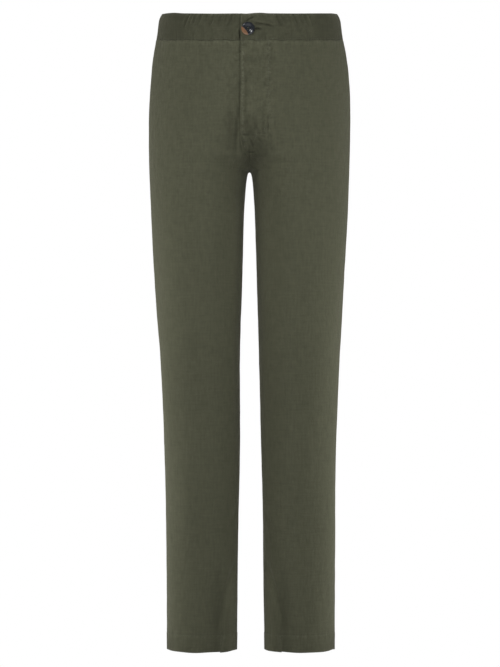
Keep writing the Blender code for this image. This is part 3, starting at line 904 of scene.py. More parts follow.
def broad_space(z):
    """The space as the broad flanks follow it, opening gently below the crotch."""
    return half_space(z) * ease(CROTCH_Z - z, 0.0, OPENING_DEPTH)


def rise_share(z, facing):
    """0 at the crotch and 1 where the centre seam meets the open front or back."""
    return float(np.clip((z - CROTCH_Z) / RISE_HEIGHT[facing], 0.0, 1.0))


def centre_y(z, facing, share):
    """Where the centre seam or, below the crotch, the inseam runs.

    Just above the crotch the cloth folds in under sharply only close to the seam
    (share 1), and gently further out.
    """
    if z < CROTCH_Z:
        return CROTCH_Y * (1.0 - ease(z, CROTCH_Z, INSEAM_CENTRED_Z))
    rise = rise_share(z, facing)
    power = RISE_POWER[facing]
    sharp = (1.0 - (1.0 - rise) ** power) ** (1.0 / power)
    gentle = math.sqrt(1.0 - (1.0 - rise) ** 2) * ease(rise, 0.0, GENTLE_RISE)
    reach = blend(gentle, sharp, share ** SHARP_POWER)
    return blend(CROTCH_Y, facing * depth_at[facing](z), reach)


def crest_x(z, facing):
    """How far out the cloth reaches furthest forward or back."""
    middle = (side_at(z) + broad_space(z)) / 2
    return blend(
        FLAT_HALF_WIDTH, middle, ease(z, FLAT_END_Z[facing], ROUND_START_Z[facing])
    )


def valley(share, z, facing):
    """The fall from the crest (share 0) to the centre (share 1), from 0 to 1."""
    if z < CROTCH_Z:
        fullness = blend(
            CROTCH_FULLNESS, LEG_FULLNESS, ease(CROTCH_Z - z, 0.0, FULLNESS_DEPTH)
        )
        return 1.0 - (1.0 - share ** 2) ** (1.0 / fullness)
    rise = rise_share(z, facing)
    fullness = blend(CROTCH_FULLNESS, 1.0, ease(rise, 0.0, FOLD_END))
    fold = 1.0 - np.maximum(1.0 - share ** 2, 0.0) ** (1.0 / fullness)
    hollow = ease(share, 0.0, 1.0)
    return blend(fold, hollow, ease(rise, HOLLOW_START, HOLLOW_END))


class Outline:
    """Half of the level outline at height z, from the centre to the side seam."""

    def __init__(self, z, facing):
        turn = np.linspace(0.0, math.pi / 2, OUTLINE_STEPS)
        crest = crest_x(z, facing)
        depth = facing * depth_at[facing](z)
        share = np.cos(turn)
        opening = (half_space(z) - broad_space(z)) * share ** OPENING_POWER
        inner_x = blend(crest, broad_space(z), share) + opening
        inner_y = blend(depth, centre_y(z, facing, share), valley(share, z, facing))
        outer_x = blend(crest, side_at(z), np.sin(turn))
        outer_y = depth * np.cos(turn)
        self.points = np.stack(
            [
                np.concatenate([inner_x, outer_x[1:]]),
                np.concatenate([inner_y, outer_y[1:]]),
            ],
            axis=1,
        )
        steps = np.diff(self.points, axis=0)
        lengths = np.hypot(steps[:, 0], steps[:, 1])
        self.places = np.concatenate([[0.0], np.cumsum(lengths)])
        self.length = self.places[-1]
        along = np.gradient(self.points, self.places, axis=0)
        along /= np.hypot(along[:, 0], along[:, 1])[:, None]
        self.outward = np.stack([along[:, 1], -along[:, 0]], axis=1) * -facing
        self.grain = np.interp(GRAIN_X, self.points[:, 0], self.places)

    def at(self, place):
        """x, y and the outward direction at distances from the centre."""
        columns = (*self.points.T, *self.outward.T)
        x, y, out_x, out_y = (
            np.interp(np.abs(place), self.places, values) for values in columns
        )
        past = np.where(np.asarray(place) < 0.0, -1.0, 1.0)
        size = np.hypot(out_x, out_y)
        return np.stack([past * x, y, past * out_x / size, out_y / size], axis=-1)


@lru_cache(maxsize=OUTLINES_KEPT)
def outline(z, facing):
    return Outline(z, facing)


def spot(z, facing, place):
    """x, y and the outward direction at places of one outline, also round its ends."""
    near, far = outline(z, facing), outline(z, -facing)
    place = np.asarray(place, float)
    found = near.at(place)
    past = place > near.length
    found[past] = far.at(far.length + near.length - place[past])
    if z < CROTCH_Z:
        before = place < 0.0
        found[before] = far.at(-place[before])
    return found


Spots = namedtuple("Spots", "x y out_x out_y place z lean length round")


def spots(facing, place, z):
    """The bare outlines' points at arrays of places and heights."""
    place, z = np.broadcast_arrays(np.asarray(place, float), np.asarray(z, float))
    flat_place, flat_z = place.ravel(), z.ravel()
    found = np.empty((flat_z.size, 7))
    for height in np.unique(flat_z):
        here = flat_z == height
        lengths = outline(height, facing).length, outline(height, -facing).length
        found[here, :4] = spot(height, facing, flat_place[here])
        found[here, 4:] = lean_at(height), lengths[0], sum(lengths)
    x, y, out_x, out_y, lean, length, both = found.reshape(*place.shape, 7).transpose(
        -1, *range(place.ndim)
    )
    return Spots(x, y, out_x, out_y, place, z, lean, length, both)


def drift(z, far):
    """How far a seam has drifted round the leg at z; far is its drift at the hem."""
    share = np.clip((THIGH_Z - z) / (THIGH_Z - HEM_Z), 0.0, 1.0)
    return far * share ** DRIFT_POWER


def sloped(z, y):
    """The height of a point of the outline at z, once the waist is sloped."""
    return z + WAIST_SLOPE * y * (1.0 - ease(z, WAIST_SEAM_Z, SLOPE_END_Z))


# --- relief: what lifts the cloth off its outline -------------------------------------


def lap_place(z):
    """Where the left front's edge lies, past the centre along the fly."""
    return -LAP * (1.0 - ease(z, FLY_END_Z, LAP_END_Z))


def underlap_place(z):
    """Where the right front's edge lies, under the fly and then beside it."""
    under = 1.0 - ease(z, UNDERLAP_END_Z, LAP_TURN_Z)
    return blend(-lap_place(z) - SEAM_OVERLAP, -UNDERLAP, under)


def inner_edge(facing, side, z):
    """The place of a panel's inner edge."""
    if facing == BACK:
        return -SEAM_OVERLAP - drift(z, INSEAM_DRIFT)
    edge = lap_place(z) - SEAM_OVERLAP if side == LEFT else underlap_place(z)
    return edge + drift(z, INSEAM_DRIFT)


def side_edge(facing, length, z):
    """The place of a panel's edge at the side seam."""
    return length + SEAM_OVERLAP - facing * drift(z, SIDE_SEAM_DRIFT)


def fly_lift(place, z):
    """How far the fly stands off the front that it laps over."""
    across = 1.0 - ease(place, FLY_STITCH, FLY_STITCH + FLY_RAMP)
    down = 1.0 - ease(z, LAP_TURN_Z, FLY_END_Z)
    return (WALL + FLY_CLEARANCE) * across * down


def ripple(place, share, gathers):
    """The outward wave of a run of gathers, leaning as it goes up the cloth."""
    run = gathers.last - gathers.first
    phase = (place - gathers.lean * share - gathers.first) / run
    turns = phase * gathers.count
    swing = np.sin(GATHER_TURN * np.floor(turns) + GATHER_SHIFT * gathers.last)
    height = gathers.depth * (GATHER_MEAN + GATHER_SWING * swing)
    wave = height * (1.0 - np.cos(2 * np.pi * turns)) / 2
    return np.where((phase > 0.0) & (phase < 1.0), wave, 0.0)


def pinch(place, share, gathers):
    """1 in the narrow troughs between a run's gathers, and 0 on their crests."""
    pitch = (gathers.last - gathers.first) / gathers.count
    turns = (place - gathers.lean * share - gathers.first) / pitch
    off = (turns - np.round(turns)) * pitch
    inside = (np.round(turns) >= 0) & (np.round(turns) <= gathers.count)
    swing = np.sin(GATHER_TURN * np.round(turns) + PINCH_TURN * gathers.first)
    depth = PINCH_MEAN + PINCH_SWING * swing
    return np.where(inside, depth * bell(off, 0.0, PINCH_WIDTH), 0.0)


def pleats(side):
    """The creases that the pleats of half the front band make, none quite alike."""
    made = []
    for i, place in enumerate(PLEATS[side]):
        swing = math.sin(GATHER_TURN * i + side)
        slant = PLEAT_SLANT * (1.0 + PLEAT_SLANT_SWING * swing)
        foot = (place + slant, PLEAT_FOOT - PLEAT_FOOT_SWING * swing)
        slope = (place - foot[0]) / (1.0 - foot[1])
        head = (place + slope * (PLEAT_HEAD - 1.0), PLEAT_HEAD)
        depth = -PLEAT_DEPTH * (PLEAT_MEAN + PLEAT_SWING * swing)
        bow = CREASE_BOW * THOUSANDTH
        made.append(Line(FRONT, side, foot, head, PLEAT_WIDTH, depth, bow))
    return made


def on_band(crease):
    """A band crease with its heights in metres."""
    (start, foot), (end, top) = crease.start, crease.end
    return crease._replace(
        start=(start, foot * BAND_HEIGHT), end=(end, top * BAND_HEIGHT)
    )


def on_panel(lines, facing, side):
    """Those of some lines that lie on one panel or one half of the band."""
    return [line for line in lines if (line.facing, line.side) == (facing, side)]


def band_pinch(facing, side, place, share):
    """1 in the narrow troughs between half a band's gathers, and 0 on their crests."""
    if facing == BACK:
        fade = ease(share, BACK_GATHERS_START, GATHERS_FADE)
        return pinch(place, share, BACK_GATHERS) * fade
    total = np.zeros(np.shape(place))
    for crease in pleats(side):
        along, off, _ = along_line(on_band(crease), place, BAND_HEIGHT * share)
        total += np.sqrt(arch(along)) * bell(off, 0.0, crease.width)
    return np.minimum(total, 1.0)


def top_rise(x):
    """How far the band's top edge stands above or below its level."""
    swells = sum(s.height * bell(x, s.x, s.width) for s in TOP_SWELLS)
    return swells - CORNER_DROP * ease(np.abs(x), CORNER_START, CORNER_END)


def waves():
    """The plane waves of the cloth's unevenness, as (direction, phase, height)."""
    draw = np.random.default_rng(WAVE_SEED)
    made = []
    for kind in UNEVENNESS:
        for _ in range(kind.count):
            turn = draw.uniform(0.0, math.pi)
            across = 2 * math.pi / draw.uniform(*kind.across)
            down = 2 * math.pi / draw.uniform(*kind.down) * draw.choice((-1, 1))
            direction = (across * math.cos(turn), across * math.sin(turn), down)
            height = kind.height / math.sqrt(kind.count)
            made.append((direction, draw.uniform(0.0, 2 * math.pi), height))
    return made


WAVES = waves()


def unevenness(x, y, z):
    total = np.zeros(np.shape(x))
    for direction, phase, height in WAVES:
        angle = direction[0] * x + direction[1] * y + direction[2] * z + phase
        total += height * np.sin(angle)
    return total


def along_line(line, place, z):
    """How far along a fold's line each point lies, as a share, and how far off it."""
    (start, top), (end, foot) = line.start, line.end
    length = math.hypot(end - start, foot - top)
    along_place, along_z = (end - start) / length, (foot - top) / length
    down = (place - start) * along_place + (z - top) * along_z
    off = (z - top) * along_place - (place - start) * along_z
    return np.clip(down / length, 0.0, 1.0), off, length


def arch(share):
    """0 at both ends of a line and 1 halfway."""
    return 4.0 * share * (1.0 - share)


def fold_lift(fold, place, z):
    """The lift that one fold gives: round across it, and fading out at both ends."""
    share, off, _ = along_line(fold, place, z)
    return fold.depth * np.sqrt(arch(share)) * bell(off, 0.0, fold.width)


def crease_lift(crease, place, z):
    """The lift of a finer crease, which bows and has a lip on both sides."""
    share, off, length = along_line(crease, place, z)
    across = (off - crease.bow * length * arch(share)) / crease.width
    lips = bell(np.abs(across), LIP_PLACE, 1.0)
    profile = bell(across, 0.0, 1.0) - LIP_HEIGHT * lips
    return crease.depth * np.sqrt(arch(share)) * profile


def crease_shade(crease, place, z):
    """The painted shade that a crease puts on the cloth's colour (or, on a ridge, painted
    light).
    """
    return CREASE_SHADE * crease_lift(crease, place, z) / crease.width


def creased(facing, side, at, kinds=((FOLDS, fold_lift), (CREASES, crease_lift))):
    """The lift of folds and creases, also of those that come round from behind."""
    total = np.zeros(at.place.shape)
    below = at.z < CROTCH_Z
    for face, place, there in (
        (facing, at.place, True),
        (-facing, at.round - at.place, True),
        (-facing, -at.place, below),
    ):
        for lines, lift in kinds:
            for line in on_panel(lines, face, side):
                total += np.where(there, lift(line, place, at.z), 0.0)
    return total


def edge_dip(distance, width, depth):
    """The cloth turns in towards a seam or a folded edge."""
    return -depth * np.clip(1.0 - distance / width, 0.0, 1.0) ** 2


def furrow(off):
    """The groove that a row of stitches pulls into the cloth."""
    return -STITCH_DEPTH * bell(off, 0.0, STITCH_FURROW)


def puckers(along, off, seed):
    """Small waves on both sides of a row of stitches."""
    pitch = PUCKER_PITCH * (1.0 + PUCKER_SWING * np.sin(along / PUCKER_SWING_RUN + seed))
    turn = 2 * np.pi * along / pitch
    second = np.sin(turn / SECOND_PUCKER_PITCH + SECOND_PUCKER_SEED * seed)
    wave = np.sin(turn + seed) + SECOND_PUCKER * second
    return PUCKER_DEPTH * wave * bell(off, 0.0, PUCKER_REACH)


def swayed(turn, sway):
    """A turn that runs ahead and falls behind, so that what repeats isn't even."""
    far, pace = sway
    return turn + far * np.sin(pace * turn)


def line_distance(line, place, z):
    """The distance of each point from a line of (place, z), and how far along it is."""
    best = np.full(np.shape(place), np.inf)
    along = np.zeros(np.shape(place))
    run = 0.0
    for (p0, z0), (p1, z1) in zip(line, line[1:]):
        step = np.array([p1 - p0, z1 - z0])
        length = np.hypot(*step)
        step /= length
        t = np.clip((place - p0) * step[0] + (z - z0) * step[1], 0.0, length)
        off = np.hypot(place - p0 - t * step[0], z - z0 - t * step[1])
        along = np.where(off < best, run + t, along)
        best = np.minimum(best, off)
        run += length
    return best, along


def panel_relief(facing, side, at):
    """How far a leg panel's cloth stands off its outline."""
    lift = unevenness(at.x * side, at.y, at.z)
    lift += creased(facing, side, at)
    from_inner = at.place - inner_edge(facing, side, at.z)
    from_side = side_edge(facing, at.length, at.z) - at.place
    lift += edge_dip(from_side, SEAM_WIDTH, SEAM_DEPTH)
    below = WAIST_SEAM_Z - at.z
    lift += edge_dip(below, SEAM_WIDTH, WAIST_TUCK)
    lift += WAIST_SWELL * bell(below, WAIST_SWELL_BELOW, WAIST_SWELL_WIDTH)
    from_hem = at.z - HEM_STITCH_Z
    lift += HEM_PROUD * (1.0 - ease(from_hem, *HEM_STEP)) + furrow(from_hem)
    lift += puckers(at.place, from_hem, np.dot(HEM_PUCKER_SEEDS, (facing, side)))
    if facing == BACK:
        fade = 1.0 - ease(at.z, WAIST_SEAM_Z, SEAT_GATHERS_END_Z)
        lift += ripple(at.place, 0.0, SEAT_GATHERS) * fade
    else:
        turn = 2 * np.pi * at.place / WAIST_RIPPLE_PITCH
        clear = ease(at.place, FLY_STITCH, FLY_STITCH + FLY_RAMP)
        fade = 1.0 - ease(below, 0.0, WAIST_RIPPLE_REACH)
        lift += WAIST_RIPPLE * np.sin(swayed(turn, RIPPLE_SWAY)) * fade * clear
    if facing == FRONT and side == LEFT:
        lift += fly_lift(at.place, at.z)
        off, along = line_distance(FLY_LINE, at.place, at.z)
        lift += furrow(off) + FLY_PUCKERS * puckers(along, off, FLY_PUCKER_SEED)
    depth = blend(INSEAM_DEPTH, SEAM_DEPTH, ease(at.z, THIGH_Z, CROTCH_Z))
    return lift + edge_dip(from_inner, SEAM_WIDTH, depth)


def waist_wander(x, y, z):
    """How far the waist seam, and the cloth close to it, strays up or down."""
    wave = sum(
        strength * np.sin(x / run_x + y / run_y + phase)
        for strength, run_x, run_y, phase in WAIST_WAVES
    )
    return WAIST_WANDER * wave * bell(z, WAIST_SEAM_Z, WAIST_WANDER_REACH)


def panel_points(facing, side, place, z, off=0.0):
    """Points on the outside of a leg panel, off the cloth by some distance."""
    at = spots(facing, place, z)
    lift = panel_relief(facing, side, at) + off
    y = at.y + lift * at.out_y
    x = (at.x + lift * at.out_x) * side + at.lean
    return np.stack([x, y, sloped(at.z, y) + waist_wander(x, y, at.z)], axis=-1)


def band_lap_lift(place):
    """How far the left band's end stands off the right band's end beneath it."""
    flat = 1.0 - ease(place, BAND_LAP_FLAT, BAND_LAP_FLAT + BAND_LAP_RAMP)
    return (BAND_WALL + BAND_GAP) * flat


def rolled(share):
    """0 up to where the band's top rolls over, and 1 at its top edge."""
    return np.maximum((share - ROLL_START) / (1.0 - ROLL_START), 0.0)


def band_relief(facing, side, at, share):
    """How far the waistband's cloth stands off its outline."""
    lift = BAND_PROUD - BAND_ROLL * rolled(share) ** ROLL_POWER
    lift += BAND_UNEVENNESS * unevenness(at.x * side, at.y, at.z)
    for crease in on_panel([*BAND_CREASES, *pleats(side)], facing, side):
        lift += crease_lift(on_band(crease), at.place, share * BAND_HEIGHT)
    lift += edge_dip(at.length - at.place, SEAM_WIDTH, SEAM_DEPTH)
    lift += edge_dip(share * BAND_HEIGHT, LAP_EDGE_WIDTH, LAP_EDGE_DEPTH)
    from_stitch = (share - BAND_STITCH) * BAND_HEIGHT
    seed = BAND_PUCKER_SEED + facing
    lift += furrow(from_stitch) + BAND_PUCKERS * puckers(at.place, from_stitch, seed)
    if facing == BACK:
        fade = ease(share, BACK_GATHERS_START, GATHERS_FADE)
        lift += ripple(at.place, share, BACK_GATHERS) * fade
        lift -= PINCH_DEPTH * band_pinch(facing, side, at.place, share)
    elif side == LEFT:
        lift += band_lap_lift(at.place)
        lift += edge_dip(at.place + LAP, LAP_EDGE_WIDTH, LAP_EDGE_DEPTH)
    return lift


def band_points(facing, side, place, share, off=0.0):
    """Points on the outside of half a waistband, at shares of its height."""
    z = blend(WAIST_SEAM_Z - WAIST_OVERLAP, BAND_TOP_Z, np.asarray(share, float))
    at = spots(facing, place, z)
    lift = band_relief(facing, side, at, share) + off
    y = at.y + lift * at.out_y
    x = (at.x + lift * at.out_x) * side
    rise = top_rise(x) * rolled(share) + waist_wander(x, y, z)
    if facing == FRONT and side == LEFT:
        rise += BAND_LAP_RISE * band_lap_lift(at.place) * rolled(share)
    return np.stack([x, y, z + WAIST_SLOPE * y + rise], axis=-1)


# --- meshes ---------------------------------------------------------------------------


def steps_between(start, end, step):
    """Even values from start to end, about a step apart."""
    return np.linspace(start, end, max(round(abs(end - start) / step), 1) + 1)


def with_edges(start, end, step):
    """Even places from start to end, closer together along the edges."""
    edge = np.array(EDGE_STEPS)
    near = start + edge
    far = end - edge[::-1]
    inner = steps_between(near[-1], far[0], step)[1:-1]
    return np.concatenate([near, inner, far])


def panel_heights():
    """Heights of a panel's rows at the side seam, from the waist to the hem."""
    roll = np.linspace(0.0, math.pi / 2, HEM_ROLL_ROWS)
    waist = WAIST_SEAM_Z + WAIST_OVERLAP - np.array(EDGE_STEPS)
    hem_line = HEM_STITCH_Z + np.array(HEM_LINE_ROWS)
    return np.concatenate(
        [
            waist,
            steps_between(waist[-1], FLY_END_Z, FLY_STEP)[1:],
            steps_between(FLY_END_Z, CROTCH_Z, FLY_STEP)[1:],
            steps_between(CROTCH_Z, THIGH_Z, ROW_STEP)[1:],
            steps_between(THIGH_Z, hem_line[0], ROW_STEP)[1:-1],
            hem_line,
            steps_between(hem_line[-1], HEM_Z + HEM_ROLL, ROW_STEP)[1:-1],
            HEM_Z + HEM_ROLL * (1.0 - np.sin(roll)),
        ]
    )


def crowded(z):
    """A row's height at the centre: rows crowd together round the crotch point."""
    middle = (FLY_END_Z + THIGH_Z) / 2
    end = np.where(z > middle, FLY_END_Z, THIGH_Z)
    share = np.clip((z - middle) / (end - middle), 0.0, 1.0)
    crowd = blend(CROTCH_Z, end, share ** ROW_CROWDING)
    return np.where((z > THIGH_Z) & (z < FLY_END_Z), crowd, z)


def panel_columns(facing, side):
    """A panel's columns as shares of the way from its inner edge to the side seam."""
    length = outline(FLY_END_Z, facing).length
    places = with_edges(0.0, length, COLUMN_STEP)
    if facing == FRONT:
        fine = with_edges(0.0, FINE_END_PLACE, FLY_STEP)[: -len(EDGE_STEPS)]
        places = np.concatenate([fine, places[places > FINE_END_PLACE]])
    if facing == FRONT and side == LEFT:
        stitch = np.array(FLY_STITCH_COLUMNS) + FLY_STITCH
        places = np.unique(np.concatenate([places, stitch + LAP]))
    return places / length


def folded(column, z, facing):
    """The place of a column's position, which leaves out the fold in under the crotch."""
    fold = outline(z, facing).grain - GRAIN_X
    return column + fold * ease(column, 0.0, FOLD_REACH)


@lru_cache(maxsize=OUTLINES_KEPT)
def column_ends(facing, side, z):
    """The positions of a panel's first and last column at a height."""
    edges = inner_edge(facing, side, z), side_edge(facing, outline(z, facing).length, z)
    column = np.linspace(-INSEAM_DRIFT - LAP, edges[1], COLUMN_SAMPLES)
    return np.interp(edges, folded(column, z, facing), column)


def panel_grid(facing, side):
    """Places and heights of a panel's points, a row at a time."""
    shares = panel_columns(facing, side)
    heights = panel_heights()
    even = ease(shares, CROWDED_SHARE, EVEN_SHARE)
    z = blend(crowded(heights)[:, None], heights[:, None], even)
    place = np.empty(z.shape)
    for row, column in np.ndindex(z.shape):
        height = float(z[row, column])
        first, last = column_ends(facing, side, height)
        place[row, column] = folded(blend(first, last, shares[column]), height, facing)
    return place, z


def hem_roll(z):
    """How far the cloth curls in at the very foot of the hem."""
    share = np.clip((HEM_Z + HEM_ROLL - z) / HEM_ROLL, 0.0, 1.0)
    return -HEM_ROLL * (1.0 - np.sqrt(1.0 - share ** 2))


def patches(along, length):
    """Uneven marks from 0 to 1, about a length apart."""
    turn = 2 * np.pi * along / length
    return 0.5 + 0.5 * np.sin(swayed(turn, PATCH_SWAY))


def worn(edge, distance, along=None):
    """The wear beside an edge, in patches along it if it has any."""
    wear = edge.pale * bell(distance, edge.off, edge.width)
    if edge.patch is None:
        return wear
    return wear * blend(edge.even, 1.0, patches(along, edge.patch))


def panel_looks(facing, side, at):
    """A panel's wear (paler folded, stitched edges), painted light and shade, and crumpling.
    """
    place, z = at.place, at.z
    inner = place - inner_edge(facing, side, z)
    in_hem = 1.0 - ease(z, HEM_STITCH_Z + WORN_HEM_STITCHES.off, HEM_STITCH_Z)
    wear = worn(WORN_HEM, z - HEM_Z, place)
    wear += worn(WORN_WAIST, WAIST_SEAM_Z - z, place)
    wear += worn(WORN_HEM_STITCHES, z - HEM_STITCH_Z, place)
    wear += worn(WORN_HEM_INSEAM, inner) * in_hem
    # Painted shade at the hems' outer corners
    at_corner = bell(z, HEM_Z, HEM_HEIGHT) * bell(place, at.length, HEM_CORNER_SHADE_WIDTH)
    dye = 1.0 - HEM_CORNER_SHADE * at_corner
    # Painted shade on the lower legs
    dye -= LOW_LEG_SHADE * (1.0 - ease(z, *LOW_LEG_Z))
    # Painted shade in creases, and painted light on ridges
    dye += creased(facing, side, at, ((CREASES, crease_shade),))
    crumple = 1.0 + HIP_CRUMPLE * ease(z, THIGH_Z, FLY_END_Z)
    ahead = 1.0 if facing == FRONT else ease(-at.out_y, 0.0, SHADED_TURN)
    # Painted shade, and painted light where a share is below 0, in patches on the front side
    for shade in SHADES:
        from_below, from_above = ease(z, *shade.foot), ease(z, *shade.top)
        across = bell(at.x * side, shade.x, shade.width) * ahead
        dye -= shade.share * across * from_below * (1.0 - from_above)
    if facing == FRONT:
        near_fly = (1.0 - ease(place, *FLY_CRUMPLE_END)) * ease(z, LAP_END_Z, FLY_END_Z)
        crumple += near_fly * (FLY_CRUMPLE if side == LEFT else UNDER_FLY_CRUMPLE)
    # Painted shadow beside the fly's lapped edge
    if facing == FRONT and side == RIGHT:
        beside = bell(place, LAP + SEAM_OVERLAP, LAP_SHADE_WIDTH)
        dye -= LAP_SHADE * beside * ease(z, LAP_END_Z, FLY_END_Z)
    if facing == FRONT and side == LEFT:
        on_fly = 1.0 - ease(z, FLY_END_Z, LAP_END_Z)
        # Wear and a painted highlight along the fly's lapped edge
        wear += on_fly * worn(LAP_WEAR_AND_HIGHLIGHT, place - lap_place(z), z)
        wear += worn(WORN_FLY_STITCHES, *line_distance(FLY_LINE, place, z))
    return {"wear": np.clip(wear, 0.0, 1.0), "dye": dye, "crumple": crumple}


def placed(name, data):
    """An object that holds a mesh, a lamp or a lens, put in the scene."""
    holder = bpy.data.objects.new(name, data)
    bpy.context.scene.collection.objects.link(holder)
    return holder


def applied(holder):
    """An object's plain mesh with its modifiers applied. The object itself goes."""
    depsgraph = bpy.context.evaluated_depsgraph_get()
    depsgraph.update()
    mesh = bpy.data.meshes.new_from_object(holder.evaluated_get(depsgraph))
    bpy.data.objects.remove(holder, do_unlink=True)
    return mesh


def sheet(name, points, cut, looks, outward_first, wall, hem_rows=0):
    """A piece of cloth: a mesh of rows of points, thickened inwards.

    Its looks are the names and values of what its material reads at each point.
    """
    rows, columns = points.shape[:2]
    index = np.arange(rows * columns).reshape(rows, columns)
    corners = (index[:-1, :-1], index[1:, :-1], index[1:, 1:], index[:-1, 1:])
    quads = np.stack(corners, axis=-1).reshape(-1, 4)
    if not outward_first:
        quads = quads[:, ::-1]
    mesh = bpy.data.meshes.new(name)
    mesh.from_pydata(points.reshape(-1, 3).tolist(), [], quads.tolist())
    mesh.shade_smooth()
    uv = mesh.uv_layers.new(name="cut")
    uv.data.foreach_set("uv", cut.reshape(-1, 2)[quads.ravel()].ravel())
    for label, values in looks.items():
        attribute = mesh.attributes.new(label, "FLOAT", "POINT")
        attribute.data.foreach_set("value", values.ravel())
    piece = placed(name, mesh)
    solidify = piece.modifiers.new("wall", "SOLIDIFY")
    solidify.thickness = wall
    solidify.offset = -1.0
    if hem_rows:
        hem = piece.vertex_groups.new(name="hem")
        first = (rows - hem_rows) * columns
        hem.add(range(first), WALL / wall, "REPLACE")
        hem.add(range(first, rows * columns), 1.0, "REPLACE")
        solidify.vertex_group = hem.name
    return piece


def polyline(name, lines):
    """A mesh of bare edges along lines of points, for the thread trees."""
    mesh = bpy.data.meshes.new(name)
    points, edges = [], []
    for line in lines:
        first = len(points)
        points += [tuple(map(float, point)) for point in line]
        edges += [(i, i + 1) for i in range(first, len(points) - 1)]
    mesh.from_pydata(points, edges, [])
    return placed(name + "_line", mesh)


def finished(piece, material, slot, *replaced):
    """Dress a piece and tie it to the frame."""
    piece.data.materials.clear()
    piece.data.materials.append(material)
    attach(piece, BODY)
    if replaced:
        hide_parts(*replaced)
    return piece


# --- thread trees ---------------------------------------------------------------------


class Nodes:
    """A node tree, with one method that adds any node."""

    def __init__(self, tree):
        self.tree = tree

    def add(self, kind, settings=None, inputs=()):
        """A node: its settings first, then its sockets by order or by name."""
        node = self.tree.nodes.new(kind)
        for key, value in (settings or {}).items():
            setattr(node, key, value)
        pairs = inputs.items() if isinstance(inputs, dict) else enumerate(inputs)
        for key, value in pairs:
            self.feed(node.inputs[key], value)
        return node

    def feed(self, socket, value):
        """Link a socket to another, or give it a value of its own."""
        if isinstance(value, Value):
            value = value.socket
        if isinstance(value, bpy.types.NodeSocket):
            self.tree.links.new(value, socket)
        else:
            socket.default_value = value


class Tree(Nodes):
    """A Geometry Nodes tree with named inputs, which runs on a line."""

    def __init__(self, name, inputs):
        super().__init__(bpy.data.node_groups.new(name, "GeometryNodeTree"))
        face = self.tree.interface
        face.new_socket("Line", in_out="INPUT", socket_type="NodeSocketGeometry")
        face.new_socket("Geometry", in_out="OUTPUT", socket_type="NodeSocketGeometry")
        self.keys = {}
        for label, kind in inputs.items():
            kind = "NodeSocket" + kind
            socket = face.new_socket(label, in_out="INPUT", socket_type=kind)
            self.keys[label] = socket.identifier
        self.given = self.add("NodeGroupInput").outputs
        self.result = self.add("NodeGroupOutput").inputs

    def line(self):
        """The line that is given, as a curve."""
        return self.add("GeometryNodeMeshToCurve", inputs=[self.given["Line"]]).outputs[0]

    def times(self, first, second):
        """The product of two numbers."""
        settings = {"operation": "MULTIPLY"}
        return self.add("ShaderNodeMath", settings, [first, second]).outputs[0]

    def finish(self, geometry):
        """End the tree: real geometry, smooth, in the material that it is given."""
        real = self.add("GeometryNodeRealizeInstances", inputs=[geometry])
        smooth = self.add("GeometryNodeSetShadeSmooth", inputs=[real.outputs[0]])
        sockets = {"Geometry": smooth.outputs[0], "Material": self.given["Material"]}
        dressed = self.add("GeometryNodeSetMaterial", inputs=sockets)
        self.feed(self.result[0], dressed.outputs[0])

    def make(self, name, holder, values):
        """Run the tree on a line and keep its plain mesh under a name."""
        modifier = holder.modifiers.new(self.tree.name, "NODES")
        modifier.node_group = self.tree
        for label, value in values.items():
            modifier[self.keys[label]] = value
        mesh = applied(holder)
        mesh.name = name
        return placed(name, mesh)


def stitch_tree():
    """Single stitches, laid end to end along a line."""
    sizes = {"Pitch": "Float", "Length": "Float", "Width": "Float", "Seed": "Int"}
    made = Tree("stitches", {**sizes, "Material": "Material"})
    points = made.add(
        "GeometryNodeCurveToPoints",
        {"mode": "LENGTH"},
        {"Curve": made.line(), "Length": made.given["Pitch"]},
    ).outputs
    ball = {"Segments": STITCH_SEGMENTS, "Rings": STITCH_RINGS, "Radius": 0.5}
    stitch = made.add("GeometryNodeMeshUVSphere", inputs=ball)
    uneven = made.add(
        "FunctionNodeRandomValue",
        {"data_type": "FLOAT"},
        {2: SHORTEST_STITCH, 3: LONGEST_STITCH, "Seed": made.given["Seed"]},
    )
    width = made.given["Width"]
    length = made.times(made.given["Length"], uneven.outputs[1])
    size = made.add("ShaderNodeCombineXYZ", inputs=[width, width, length])
    laid = made.add(
        "GeometryNodeInstanceOnPoints",
        inputs={
            "Points": points["Points"],
            "Instance": stitch.outputs["Mesh"],
            "Rotation": points["Rotation"],
            "Scale": size.outputs[0],
        },
    )
    made.finish(laid.outputs[0])
    return made


def thread_tree():
    """A round thread along a line."""
    made = Tree("thread", {"Width": "Float", "Material": "Material"})
    radius = made.times(made.given["Width"], 0.5)
    ring = made.add(
        "GeometryNodeCurvePrimitiveCircle",
        inputs={"Resolution": THREAD_SEGMENTS, "Radius": radius},
    )
    tube = made.add(
        "GeometryNodeCurveToMesh",
        inputs={
            "Curve": made.line(),
            "Profile Curve": ring.outputs["Curve"],
            "Fill Caps": True,
        },
    )
    made.finish(tube.outputs[0])
    return made


def thread_off():
    """How far the middle of a stitch lies off the cloth."""
    return bpy.context.scene.trousers.sewing.thread_width * THREAD_PROUD


def sewn(name, lines, seed):
    """Rows of stitches along lines of points."""
    sewing = bpy.context.scene.trousers.sewing
    thread = thread_material()
    values = {
        "Pitch": sewing.stitch_pitch,
        "Length": sewing.stitch_length,
        "Width": sewing.thread_width,
        "Seed": seed,
        "Material": thread,
    }
    piece = stitch_tree().make(name, polyline(name, lines), values)
    return finished(piece, thread, "front_left_linen")


def threaded(name, lines, width):
    """Thread that follows lines of points."""
    thread = thread_material()
    values = {"Width": width, "Material": thread}
    piece = thread_tree().make(name, polyline(name, lines), values)
    return finished(piece, thread, "front_left_linen")


# --- materials ------------------------------------------------------------------------


